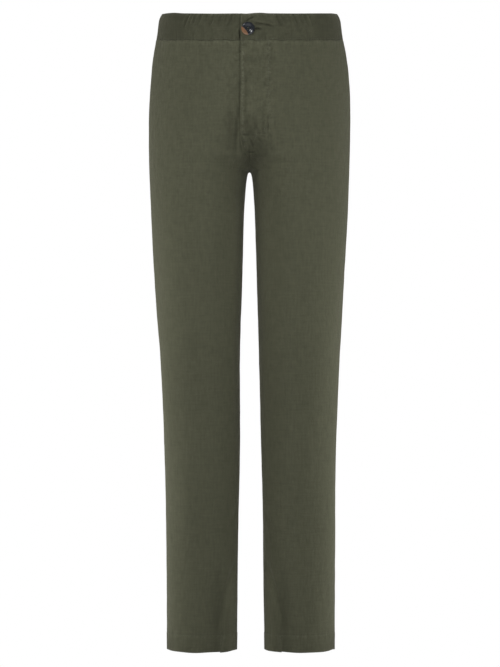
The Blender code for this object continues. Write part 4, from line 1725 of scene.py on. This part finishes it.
def maths(operation, swapped=False):
    """A method that adds a Math node to a value's tree."""

    def method(self, *others):
        operands = (*others, self) if swapped else (self, *others)
        node = self.shader.add("ShaderNodeMath", {"operation": operation}, operands)
        return Value(self.shader, node.outputs[0])

    return method


class Value:
    """A number in a shader tree; arithmetic on it adds Math nodes."""

    def __init__(self, shader, socket):
        self.shader = shader
        self.socket = socket

    __add__ = maths("ADD")
    __radd__ = maths("ADD", swapped=True)
    __sub__ = maths("SUBTRACT")
    __rsub__ = maths("SUBTRACT", swapped=True)
    __mul__ = maths("MULTIPLY")
    __rmul__ = maths("MULTIPLY", swapped=True)
    __gt__ = maths("GREATER_THAN")
    sine = maths("SINE")
    absolute = maths("ABSOLUTE")
    at_least = maths("MAXIMUM")
    at_most = maths("MINIMUM")

    def clamped(self):
        return self.at_least(0.0).at_most(1.0)


class Shader(Nodes):
    """A material's tree, and the kinds of node that its finishes share."""

    def __init__(self, name):
        self.material = bpy.data.materials.new(name)
        self.material.use_nodes = True
        super().__init__(self.material.node_tree)
        self.surface = self.tree.nodes["Principled BSDF"]

    def value(self, socket):
        return Value(self, socket)

    def attribute(self, name):
        """A number that the mesh holds for each point."""
        node = self.add("ShaderNodeAttribute", {"attribute_name": name})
        return self.value(node.outputs["Fac"])

    def split(self, vector):
        """A vector's x, y and z as values."""
        node = self.add("ShaderNodeSeparateXYZ", inputs=[vector])
        return tuple(self.value(socket) for socket in node.outputs)

    def noise(self, vector, scale, detail=2.0, stretch=(1.0, 1.0, 1.0)):
        """Noise from -0.5 to 0.5; a stretch above 1 shortens it that way."""
        mapped = self.add("ShaderNodeMapping", inputs={"Vector": vector, "Scale": stretch})
        node = self.add(
            "ShaderNodeTexNoise",
            inputs={"Vector": mapped.outputs[0], "Scale": scale, "Detail": detail},
        )
        return self.value(node.outputs["Fac"]) - 0.5

    def shade(self, colour, brightness):
        """A colour made lighter or darker by a value."""
        node = self.add("ShaderNodeVectorMath", {"operation": "SCALE"})
        self.feed(node.inputs[0], colour[:3] if isinstance(colour, tuple) else colour)
        self.feed(node.inputs["Scale"], brightness)
        return node.outputs[0]

    def mix(self, share, first, second):
        """A mix of two colours."""
        node = self.add("ShaderNodeMix", {"data_type": "RGBA"})
        for key, value in ((0, share), (6, first), (7, second)):
            self.feed(node.inputs[key], value)
        return node.outputs[2]

    def bump(self, height):
        """Normals from a height in metres."""
        node = self.add("ShaderNodeBump", inputs={"Height": height, "Distance": 1.0})
        self.feed(self.surface.inputs["Normal"], node.outputs[0])

    def set(self, **values):
        for key, value in values.items():
            self.feed(self.surface.inputs[key.replace("_", " ")], value)


def rgba(colour):
    return (*colour, 1.0)


def linen_material():
    """Plain-woven linen: threads, slubs, uneven dye, paler worn edges and painted shading."""
    settings = bpy.context.scene.trousers.linen
    if "linen" in bpy.data.materials:
        return bpy.data.materials["linen"]
    shader = Shader("linen")
    cut = shader.add("ShaderNodeUVMap", {"uv_map": "cut"}).outputs["UV"]
    u, v, _ = shader.split(cut)
    turn = math.pi / settings.thread_pitch
    warp_turn = (u * turn).sine()
    weft_turn = (v * turn).sine()
    warp, weft = warp_turn.absolute(), weft_turn.absolute()
    over = (warp_turn * weft_turn) > 0.0
    weave = warp * weft + THREAD_ROUND * (over * warp + (1.0 - over) * weft)
    warp_slub, weft_slub, crumple, fleck, cloud = (
        shader.noise(cut, 1.0, mark.detail, stretch=(mark.across, mark.along, 1.0))
        for mark in (WARP_SLUBS, WEFT_SLUBS, CRUMPLES, FLECKS, CLOUDS)
    )
    crumpled = shader.attribute("crumple")
    crumple, fleck = crumple * crumpled, fleck * crumpled
    wear = shader.attribute("wear") * (WEAR_EVEN + fleck * WEAR_FLECKED)
    brightness = (
        1.0
        + warp_slub * WARP_SLUBS.bright
        + weft_slub * WEFT_SLUBS.bright
        + crumple * CRUMPLES.bright
        + fleck * FLECKS.bright
        + cloud * CLOUDS.bright
        + (weave - WEAVE_MEAN) * WEAVE_BRIGHT
    )
    paler = (wear * WEAR_COLOUR).clamped()
    dyed = shader.mix(paler, rgba(settings.colour), rgba(settings.worn_colour))
    shader.set(
        Base_Color=shader.shade(dyed, brightness * shader.attribute("dye")),
        Roughness=LINEN_ROUGH + fleck * FLECK_ROUGH,
        **LINEN_FINISH,
    )
    shader.bump(
        weave * WEAVE_HEIGHT
        + (warp_slub + weft_slub) * SLUB_HEIGHT
        + crumple * CRUMPLE_HEIGHT
        + fleck * FLECK_HEIGHT
    )
    return shader.material


def thread_material():
    """Spun polyester-cotton thread, close to the linen's colour."""
    settings = bpy.context.scene.trousers.sewing
    if "sewing_thread" in bpy.data.materials:
        return bpy.data.materials["sewing_thread"]
    shader = Shader("sewing_thread")
    here = shader.add("ShaderNodeTexCoord").outputs["Object"]
    x, y, z = shader.split(here)
    twist = ((x + y + z) * TWIST_TURN).sine()
    fluff = shader.noise(here, FLUFF_SCALE)
    brightness = 1.0 + twist * TWIST_BRIGHT + fluff * FLUFF_BRIGHT
    shader.set(
        Base_Color=shader.shade(rgba(settings.colour), brightness),
        Roughness=SPUN_ROUGH + fluff * FLUFF_ROUGH,
        Sheen_Weight=SPUN_SHEEN,
    )
    shader.bump(twist * TWIST_HEIGHT)
    return shader.material


def horn_material(centre):
    """Polished dark horn with a pale crescent, low on the wearer's right."""
    settings = bpy.context.scene.trousers.button
    shader = Shader("button_horn")
    here = shader.add("ShaderNodeTexCoord").outputs["Object"]
    from_centre = shader.add(
        "ShaderNodeVectorMath", {"operation": "SUBTRACT"}, [here, tuple(centre)]
    ).outputs[0]
    aside = shader.add(
        "ShaderNodeVectorMath",
        {"operation": "DISTANCE"},
        [from_centre, tuple(settings.radius * share for share in STREAK_AWAY)],
    )
    swirl = shader.noise(here, SWIRL_SCALE, SWIRL_DETAIL)
    radii = shader.value(aside.outputs["Value"]) * (1.0 / settings.radius)
    reach = radii + swirl * SWIRL_REACH
    streak = ((STREAK_REACH - reach) * STREAK_EDGE).clamped()
    veins = shader.noise(here, VEIN_SCALE, VEIN_DETAIL, stretch=VEIN_STRETCH)
    darker = (veins + VEIN_DARK).clamped()
    dark = shader.mix(darker, rgba(settings.dark), rgba(DARKEST_HORN))
    horn = shader.mix(streak, dark, rgba(settings.light))
    shader.set(
        Base_Color=shader.shade(horn, 1.0 + veins * VEIN_BRIGHT),
        Roughness=HORN_ROUGH + swirl * SWIRL_ROUGH,
        **HORN_FINISH,
    )
    return shader.material


# --- operators ------------------------------------------------------------------------


class TROUSERS_OT_leg_panels(bpy.types.Operator):
    """Cut the two fronts and the two backs of the legs"""

    bl_idname = "trousers.leg_panels"
    bl_label = "Leg panels"

    def execute(self, context):
        for side_name, side in SIDES:
            for face_name, facing in FACES:
                self.cut_panel(f"{face_name}_{side_name}", facing, side)
        return {"FINISHED"}

    def cut_panel(self, name, facing, side):
        place, z = panel_grid(facing, side)
        at = spots(facing, place, z)
        grain = np.vectorize(lambda height: outline(height, facing).grain)(z)
        points = panel_points(facing, side, place, z, hem_roll(z))
        wander = sum(
            strength * np.sin(place / run + phase)
            for (strength, run), phase in zip(HEM_WAVES, (facing, side))
        )
        corners = sum(bell(place, end, HEM_CORNER_WIDTH) for end in (0.0, at.length))
        stray = HEM_WANDER * wander - HEM_CORNER_DROP * corners
        points[..., 2] += stray * (1.0 - ease(z, HEM_Z, HEM_STITCH_Z))
        across = (place - grain) * side + facing
        cut = np.stack([across, z - panel_heights()[0]], axis=-1)
        hem_rows = int((z[:, 0] < HEM_STITCH_Z).sum())
        piece = sheet(
            name + "_cloth",
            points,
            cut,
            panel_looks(facing, side, at),
            (facing == FRONT) == (side == LEFT),
            HEM_WALL,
            hem_rows,
        )
        finished(piece, linen_material(), name + "_linen", name)


class TROUSERS_OT_waistband(bpy.types.Operator):
    """Make the two front bands and the gathered back band"""

    bl_idname = "trousers.waistband"
    bl_label = "Waistband"

    def execute(self, context):
        share = self.shares()
        for name, side, start in (
            ("waistband_left", LEFT, -LAP),
            ("waistband_right", RIGHT, -UNDERLAP),
        ):
            place = with_edges(start, self.length(FRONT), BAND_COLUMN_STEP)
            self.band(name, self.half(FRONT, side, place, share), side == RIGHT, "hung")
        place = with_edges(0.0, self.length(BACK), BAND_COLUMN_STEP)[len(EDGE_STEPS) :]
        place = np.concatenate([[0.0], place])
        near = self.half(BACK, LEFT, place, share)
        far = self.half(BACK, RIGHT, place, share)
        whole = [np.concatenate([b[:, :0:-1], a], axis=1) for a, b in zip(near, far)]
        self.band("waistband_back", whole, True, "gathered")
        return {"FINISHED"}

    def length(self, facing):
        return outline(0.0, facing).length + SEAM_OVERLAP / 2

    def shares(self):
        edge = np.array(EDGE_STEPS) / BAND_HEIGHT
        inner = steps_between(edge[-1], 1.0, BAND_ROW_STEP / BAND_HEIGHT)[1:]
        return np.concatenate([edge, inner])

    def half(self, facing, side, place, share):
        """Points, cut, wear, painted light and shade, and crumpling of half a band."""
        grid = np.stack(
            [
                place * outline(float(z), facing).length / outline(0.0, facing).length
                for z in blend(WAIST_SEAM_Z - WAIST_OVERLAP, BAND_TOP_Z, share)
            ]
        )
        up = np.repeat(share[:, None], len(place), axis=1)
        points = band_points(facing, side, grid, up)
        height = BAND_HEIGHT * up
        cut = np.stack([grid * side + BAND_CUT * facing, height], axis=-1)
        wear = worn(WORN_BAND_TOP, up) + worn(WORN_BAND_FOOT, height, grid)
        if facing == FRONT and side == LEFT:
            wear += worn(WORN_BAND_LAP, grid + LAP)
        # Painted shade in the gathers' and pleats' troughs, painted light on the band's upper
        # part
        shade = PINCH_SHADE if facing == BACK else PLEAT_SHADE
        crest = PAINTED_UPPER_LIGHT * (up > CREST_START)
        dye = 1.0 + shade * (crest - band_pinch(facing, side, grid, up))
        smooth = ease(grid, GATHERED_END, GATHERED_END + BAND_LAP_FLAT)
        # Painted shade on the front band's sides, past its pleats
        if facing == FRONT:
            dye *= blend(1.0, SMOOTH_BAND_SHADE, smooth)
        # Painted shade in the band's creases, and painted light on its ridges
        for crease in on_panel(BAND_CREASES, facing, side):
            dye += crease_shade(on_band(crease), grid, height)
        # Painted shadow beside the band's lapped end
        if facing == FRONT and side == RIGHT:
            dye -= LAP_SHADE * bell(grid, LAP, LAP_SHADE_WIDTH)
        # Painted shade along the band's foot at the waist seam
        seam = WAIST_SHADE * bell(height, WAIST_SHADE_UP, WAIST_SHADE_WIDTH)
        dye -= seam * (WAIST_SHADE_EVEN + patches(grid, WAIST_SHADE_PATCH))
        dye *= bpy.context.scene.trousers.linen.band_shade
        crumple = BAND_CRUMPLE * (1.0 - SMOOTH_BAND_CALM * smooth)
        return points, cut, np.clip(wear, 0.0, 1.0), dye, crumple

    def band(self, name, made, outward_first, held):
        points, cut, *looks = made
        looks = dict(zip(("wear", "dye", "crumple"), looks))
        piece = sheet(name + "_cloth", points, cut, looks, outward_first, BAND_WALL)
        finished(piece, linen_material(), name + "_linen", name)


class TROUSERS_OT_hem_stitches(bpy.types.Operator):
    """Sew the two hems"""

    bl_idname = "trousers.hem_stitches"
    bl_label = "Hem stitches"

    def execute(self, context):
        for name, side in SIDES:
            line = []
            for facing in (FRONT, BACK):
                start = inner_edge(facing, side, HEM_STITCH_Z)
                length = outline(HEM_STITCH_Z, facing).length
                end = side_edge(facing, length, HEM_STITCH_Z)
                place = steps_between(start, end, HEM_LINE_STEP)
                z = np.full(len(place), HEM_STITCH_Z)
                half = panel_points(facing, side, place[None], z[None], thread_off())[0]
                line.append(half if facing == FRONT else half[::-1])
            sewn(f"hem_stitches_{name}", [np.concatenate(line)], side + HEM_SEED)
        return {"FINISHED"}


class TROUSERS_OT_fly_stitches(bpy.types.Operator):
    """Sew the fly's curved line and its bar-tacks"""

    bl_idname = "trousers.fly_stitches"
    bl_label = "Fly stitches"

    def execute(self, context):
        width = context.scene.trousers.sewing.thread_width
        line = self.rounded(FLY_LINE, FLY_LINE_POINTS)
        sewn("fly_stitches", [self.along(line, thread_off())], FLY_SEED)
        tacks = [self.tack(*ends) for ends in BAR_TACKS]
        threaded("fly_bar_tacks", tacks, width * TACK_THREAD)
        return {"FINISHED"}

    def rounded(self, line, times):
        """A smoother line, its corners cut twice, of so many points a step."""
        points = np.array(line)
        for _ in range(2):
            near = blend(points[:-1], points[1:], FLY_CORNER_CUT)
            far = blend(points[:-1], points[1:], 1.0 - FLY_CORNER_CUT)
            inner = np.stack([near, far], axis=1).reshape(-1, 2)
            points = np.concatenate([points[:1], inner, points[-1:]])
        spread = [blend(points[:-1], points[1:], i / times) for i in range(times)]
        return np.concatenate([np.stack(spread, axis=1).reshape(-1, 2), points[-1:]])

    def along(self, line, off):
        return panel_points(FRONT, LEFT, line[:, 0], line[:, 1], off)

    def tack(self, start, end, width):
        """A dense zigzag of thread from one (place, z) to another."""
        start, end = np.array(start), np.array(end)
        along = end - start
        length = np.hypot(*along)
        across = np.array([-along[1], along[0]]) / length * width / 2
        turns = int(length / TACK_PITCH)
        middle = blend(start, end, np.linspace(0.0, 1.0, turns)[:, None])
        zigzag = middle + across * np.where(np.arange(turns) % 2, 1.0, -1.0)[:, None]
        return self.along(zigzag, TACK_OFF)


class TROUSERS_OT_waist_stitches(bpy.types.Operator):
    """Sew the waistband's lower edge all round"""

    bl_idname = "trousers.waist_stitches"
    bl_label = "Waist stitches"

    def execute(self, context):
        lines = []
        for facing, side, start in WAIST_LINES:
            end = outline(WAIST_LINE_Z, facing).length - WAIST_LINE_END
            place = steps_between(start, end, WAIST_LINE_STEP)
            share = np.full(len(place), BAND_STITCH)
            points = band_points(facing, side, place[None], share[None], thread_off())
            lines.append(points[0])
        sewn("waistband_stitches", lines, WAIST_SEED)
        return {"FINISHED"}


def button_frame():
    """The button's seat on the band: its centre and the way that it faces."""
    share = np.full((1, 1), BUTTON_HEIGHT)
    place = np.full((1, 1), BUTTON_PLACE)
    centre = Vector(band_points(FRONT, LEFT, place, share, BUTTON_OFF)[0, 0])
    centre.y = min(centre.y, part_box("button")[1][1])
    lean = math.atan2(SECTIONS[-3].front - SECTIONS[-1].front, BAND_HEIGHT)
    return Matrix.Translation(centre) @ Matrix.Rotation(math.pi / 2 - lean, 4, "X")


def hole_centres():
    """The four holes' centres, on the button's seat."""
    turns = [math.pi / 4 + i * math.pi / 2 for i in range(4)]
    return [
        Vector((HOLE_OFFSET * math.cos(turn), HOLE_OFFSET * math.sin(turn), 0.0))
        for turn in turns
    ]


class TROUSERS_OT_button(bpy.types.Operator):
    """Turn the button, drill its holes and sew it on"""

    bl_idname = "trousers.button"
    bl_label = "Button"

    def execute(self, context):
        settings = context.scene.trousers.button
        seat = button_frame()
        solid = self.turned(settings)
        bits = [self.drill(solid, centre, settings) for centre in hole_centres()]
        mesh = applied(solid)
        for bit in bits:
            bpy.data.objects.remove(bit, do_unlink=True)
        mesh.transform(seat)
        mesh.shade_smooth()
        mesh.set_sharp_from_angle(angle=SHARP_EDGE)
        piece = placed("button_polished", mesh)
        middle = seat @ Vector((0.0, 0.0, settings.thickness / 2))
        finished(piece, horn_material(middle), "button_resin", "button")
        self.sew_on(seat, settings)
        return {"FINISHED"}

    def profile(self, settings):
        """Radius and height round the button's half section, underside first."""
        side = [
            (blend(SIDE_RADIUS, 1.0, math.sin(a)), SIDE_HEIGHT * (1.0 - math.cos(a)))
            for a in np.linspace(*SIDE_TURNS)
        ]
        rim = [
            (blend(CREST_RADIUS, 1.0, math.cos(a)), blend(SIDE_HEIGHT, 1.0, math.sin(a)))
            for a in np.linspace(*RIM_TURNS)
        ]
        dish = [
            (blend(DISH_RADIUS, CREST_RADIUS, s), blend(DISH_HEIGHT, 1.0, ease(s, *DISH_EASE)))
            for s in np.linspace(1.0, 0.0, DISH_STEPS)[1:]
        ]
        foot, centre = (FOOT_RADIUS, 0.0), (0.0, CENTRE_HEIGHT)
        shares = [(0.0, 0.0), foot, *side, *rim, *dish, centre]
        return [(r * settings.radius, h * settings.thickness) for r, h in shares]

    def turned(self, settings):
        mesh = bpy.data.meshes.new("button_turning")
        half = bmesh.new()
        corners = [half.verts.new((r, 0.0, h)) for r, h in self.profile(settings)[::-1]]
        for pair in zip(corners, corners[1:]):
            half.edges.new(pair)
        half.to_mesh(mesh)
        half.free()
        solid = placed("button_turning", mesh)
        screw = solid.modifiers.new("turn", "SCREW")
        screw.steps = settings.segments
        screw.render_steps = settings.segments
        screw.use_merge_vertices = True
        screw.merge_threshold = TURNING_MERGE
        return solid

    def drill(self, solid, centre, settings):
        bpy.ops.mesh.primitive_cylinder_add(
            vertices=HOLE_FACES,
            radius=HOLE_RADIUS,
            depth=HOLE_DRILL * settings.thickness,
            location=centre,
        )
        bit = bpy.context.object
        bit.hide_render = True
        cut = solid.modifiers.new("hole", "BOOLEAN")
        cut.operation = "DIFFERENCE"
        cut.object = bit
        return bit

    def sew_on(self, seat, settings):
        """Thread through the holes: two bars on top, each of a few strands."""
        top = settings.thickness * STRAND_TOP
        holes = hole_centres()
        lines = []
        for first, second in ((0, 1), (3, 2)):
            for strand in (-1, 0, 1):
                aside = Vector((0.0, strand * STRAND_GAP, 0.0))
                lines.append(self.strand(holes[first], holes[second], aside, top, seat))
        threaded("button_thread", lines, BUTTON_THREAD)

    def strand(self, start, end, aside, top, seat):
        points = []
        for s in np.linspace(0.0, 1.0, STRAND_POINTS):
            dip = abs(2 * s - 1) ** STRAND_SQUARENESS
            place = start.lerp(end, s) + aside * (1.0 - STRAND_CLOSING * dip)
            place.z = blend(top + STRAND_OFF, STRAND_FOOT, dip)
            points.append(seat @ place)
        return points


class TROUSERS_OT_buttonhole(bpy.types.Operator):
    """Work the buttonhole's satin edge beside the button"""

    bl_idname = "trousers.buttonhole"
    bl_label = "Buttonhole"

    def execute(self, context):
        line = []
        for i, (place, up, out_x, out_z) in enumerate(self.places()):
            off = SLIT_OUTER if i % 2 else SLIT_INNER
            share = BUTTON_HEIGHT + (up + out_z * off) / BAND_HEIGHT
            line.append((place + out_x * off, share))
        place, share = np.array(line).T
        points = band_points(FRONT, LEFT, place, share, SLIT_OFF)
        threaded("buttonhole", [points], SLIT_THREAD)
        return {"FINISHED"}

    def places(self):
        """Round the slit: (place, height from the slit, and the way out of it)."""
        count = int((SLIT_END - SLIT_START) / SLIT_PITCH)
        along = [blend(SLIT_START, SLIT_END, i / count) for i in range(count)]
        back = [blend(SLIT_END, SLIT_START, i / count) for i in range(count)]
        over = [(place, 0.0, 0.0, 1.0) for place in along]
        under = [(place, 0.0, 0.0, -1.0) for place in back]
        turns = np.linspace(*SLIT_TURNS)
        tip = [(SLIT_END, 0.0, math.sin(a), math.cos(a)) for a in turns]
        tail = [(SLIT_START, 0.0, -math.sin(a), -math.cos(a)) for a in turns]
        return [*over, *tip, *under, *tail]


class TROUSERS_OT_stage(bpy.types.Operator):
    """Set the floor, the lights, the surroundings and the camera"""

    bl_idname = "trousers.stage"
    bl_label = "Stage"

    def execute(self, context):
        settings = context.scene.trousers.stage
        self.floor()
        self.world(context.scene, settings)
        for lamp in LAMPS:
            power = getattr(settings, lamp.power)
            if lamp.power in SINGLE_LAMPS:
                self.light(lamp, lamp.power, lamp.x, power)
                continue
            for name, side in SIDES:
                self.light(lamp, f"{lamp.power}_{name}", lamp.x * side, power)
        self.camera(context.scene)
        context.scene.view_settings.view_transform = "Standard"
        context.scene.view_settings.look = "None"
        return {"FINISHED"}

    def floor(self):
        place = (0.0, 0.0, HEM_Z - FLOOR_GAP)
        bpy.ops.mesh.primitive_plane_add(size=FLOOR_SIZE, location=place)
        floor = bpy.context.object
        floor.name = "floor"
        shader = Shader("floor_paper")
        here = shader.add("ShaderNodeTexCoord").outputs["Object"]
        brightness = 1.0 + shader.noise(here, PAPER_SCALE) * PAPER_GRAIN
        shader.set(
            Base_Color=shader.shade(rgba(FLOOR_COLOUR), brightness),
            Roughness=FLOOR_ROUGH,
        )
        glow = shader.add("ShaderNodeEmission", inputs={"Strength": 1.0})
        self.show(shader, shader.surface, glow, "Material Output")
        floor.data.materials.append(shader.material)

    def world(self, scene, settings):
        """White to the camera, and an even soft light on the cloth."""
        world = bpy.data.worlds.new("studio")
        world.use_nodes = True
        sky = Nodes(world.node_tree)
        felt = sky.tree.nodes["Background"]
        sky.feed(felt.inputs["Color"], rgba(WORLD_COLOUR))
        sky.feed(felt.inputs["Strength"], settings.world_strength)
        seen = sky.add("ShaderNodeBackground", inputs={"Color": rgba((1.0, 1.0, 1.0))})
        self.show(sky, felt, seen, "World Output")
        scene.world = world

    def show(self, made, felt, seen, output):
        """Show one shader to the camera, and light the rest with another."""
        path = made.add("ShaderNodeLightPath")
        shaders = [path.outputs["Is Camera Ray"], felt.outputs[0], seen.outputs[0]]
        pick = made.add("ShaderNodeMixShader", inputs=shaders)
        made.feed(made.tree.nodes[output].inputs["Surface"], pick.outputs[0])

    def light(self, lamp, name, x, power):
        glow = bpy.data.lights.new(name, "AREA")
        glow.energy = power
        glow.shape = "RECTANGLE"
        glow.size, glow.size_y = lamp.width, lamp.height
        holder = placed(name, glow)
        place = Vector((x, lamp.y, lamp.z))
        holder.location = place
        aim = Vector((0.0, 0.0, lamp.aim)) - place
        holder.rotation_euler = aim.to_track_quat("-Z", "Y").to_euler()
        holder.visible_camera = False
        holder.visible_glossy = lamp.power == "key_power"

    def camera(self, scene):
        lens = bpy.data.cameras.new("camera")
        lens.lens = CAMERA_LENS
        lens.sensor_width = CAMERA_SENSOR
        camera = placed("camera", lens)
        camera.location = CAMERA_PLACE
        camera.rotation_euler = (math.pi / 2, 0.0, 0.0)
        scene.camera = camera


OPERATORS = (
    TROUSERS_OT_leg_panels,
    TROUSERS_OT_waistband,
    TROUSERS_OT_hem_stitches,
    TROUSERS_OT_fly_stitches,
    TROUSERS_OT_waist_stitches,
    TROUSERS_OT_button,
    TROUSERS_OT_buttonhole,
    TROUSERS_OT_stage,
)


class TROUSERS_PT_sidebar(bpy.types.Panel):
    """The trousers' pieces and settings"""

    bl_idname = "TROUSERS_PT_sidebar"
    bl_label = "Linen trousers"
    bl_space_type = "VIEW_3D"
    bl_region_type = "UI"
    bl_category = "Trousers"

    def draw(self, context):
        layout = self.layout
        for operator in OPERATORS:
            layout.operator(operator.bl_idname)
        for group in ("linen", "sewing", "button", "stage"):
            settings = getattr(context.scene.trousers, group)
            box = layout.box()
            box.label(text=group.capitalize())
            for name in settings.__annotations__:
                box.prop(settings, name)


CLASSES = (
    LinenSettings,
    SewingSettings,
    ButtonSettings,
    StageSettings,
    TrousersSettings,
    *OPERATORS,
    TROUSERS_PT_sidebar,
)


def register():
    for cls in CLASSES:
        bpy.utils.register_class(cls)
    bpy.types.Scene.trousers = PointerProperty(type=TrousersSettings)


def unregister():
    del bpy.types.Scene.trousers
    for cls in reversed(CLASSES):
        bpy.utils.unregister_class(cls)


def main():
    register()
    for operator in OPERATORS:
        area, name = operator.bl_idname.split(".")
        getattr(getattr(bpy.ops, area), name)()


if __name__ == "__main__":
    main()
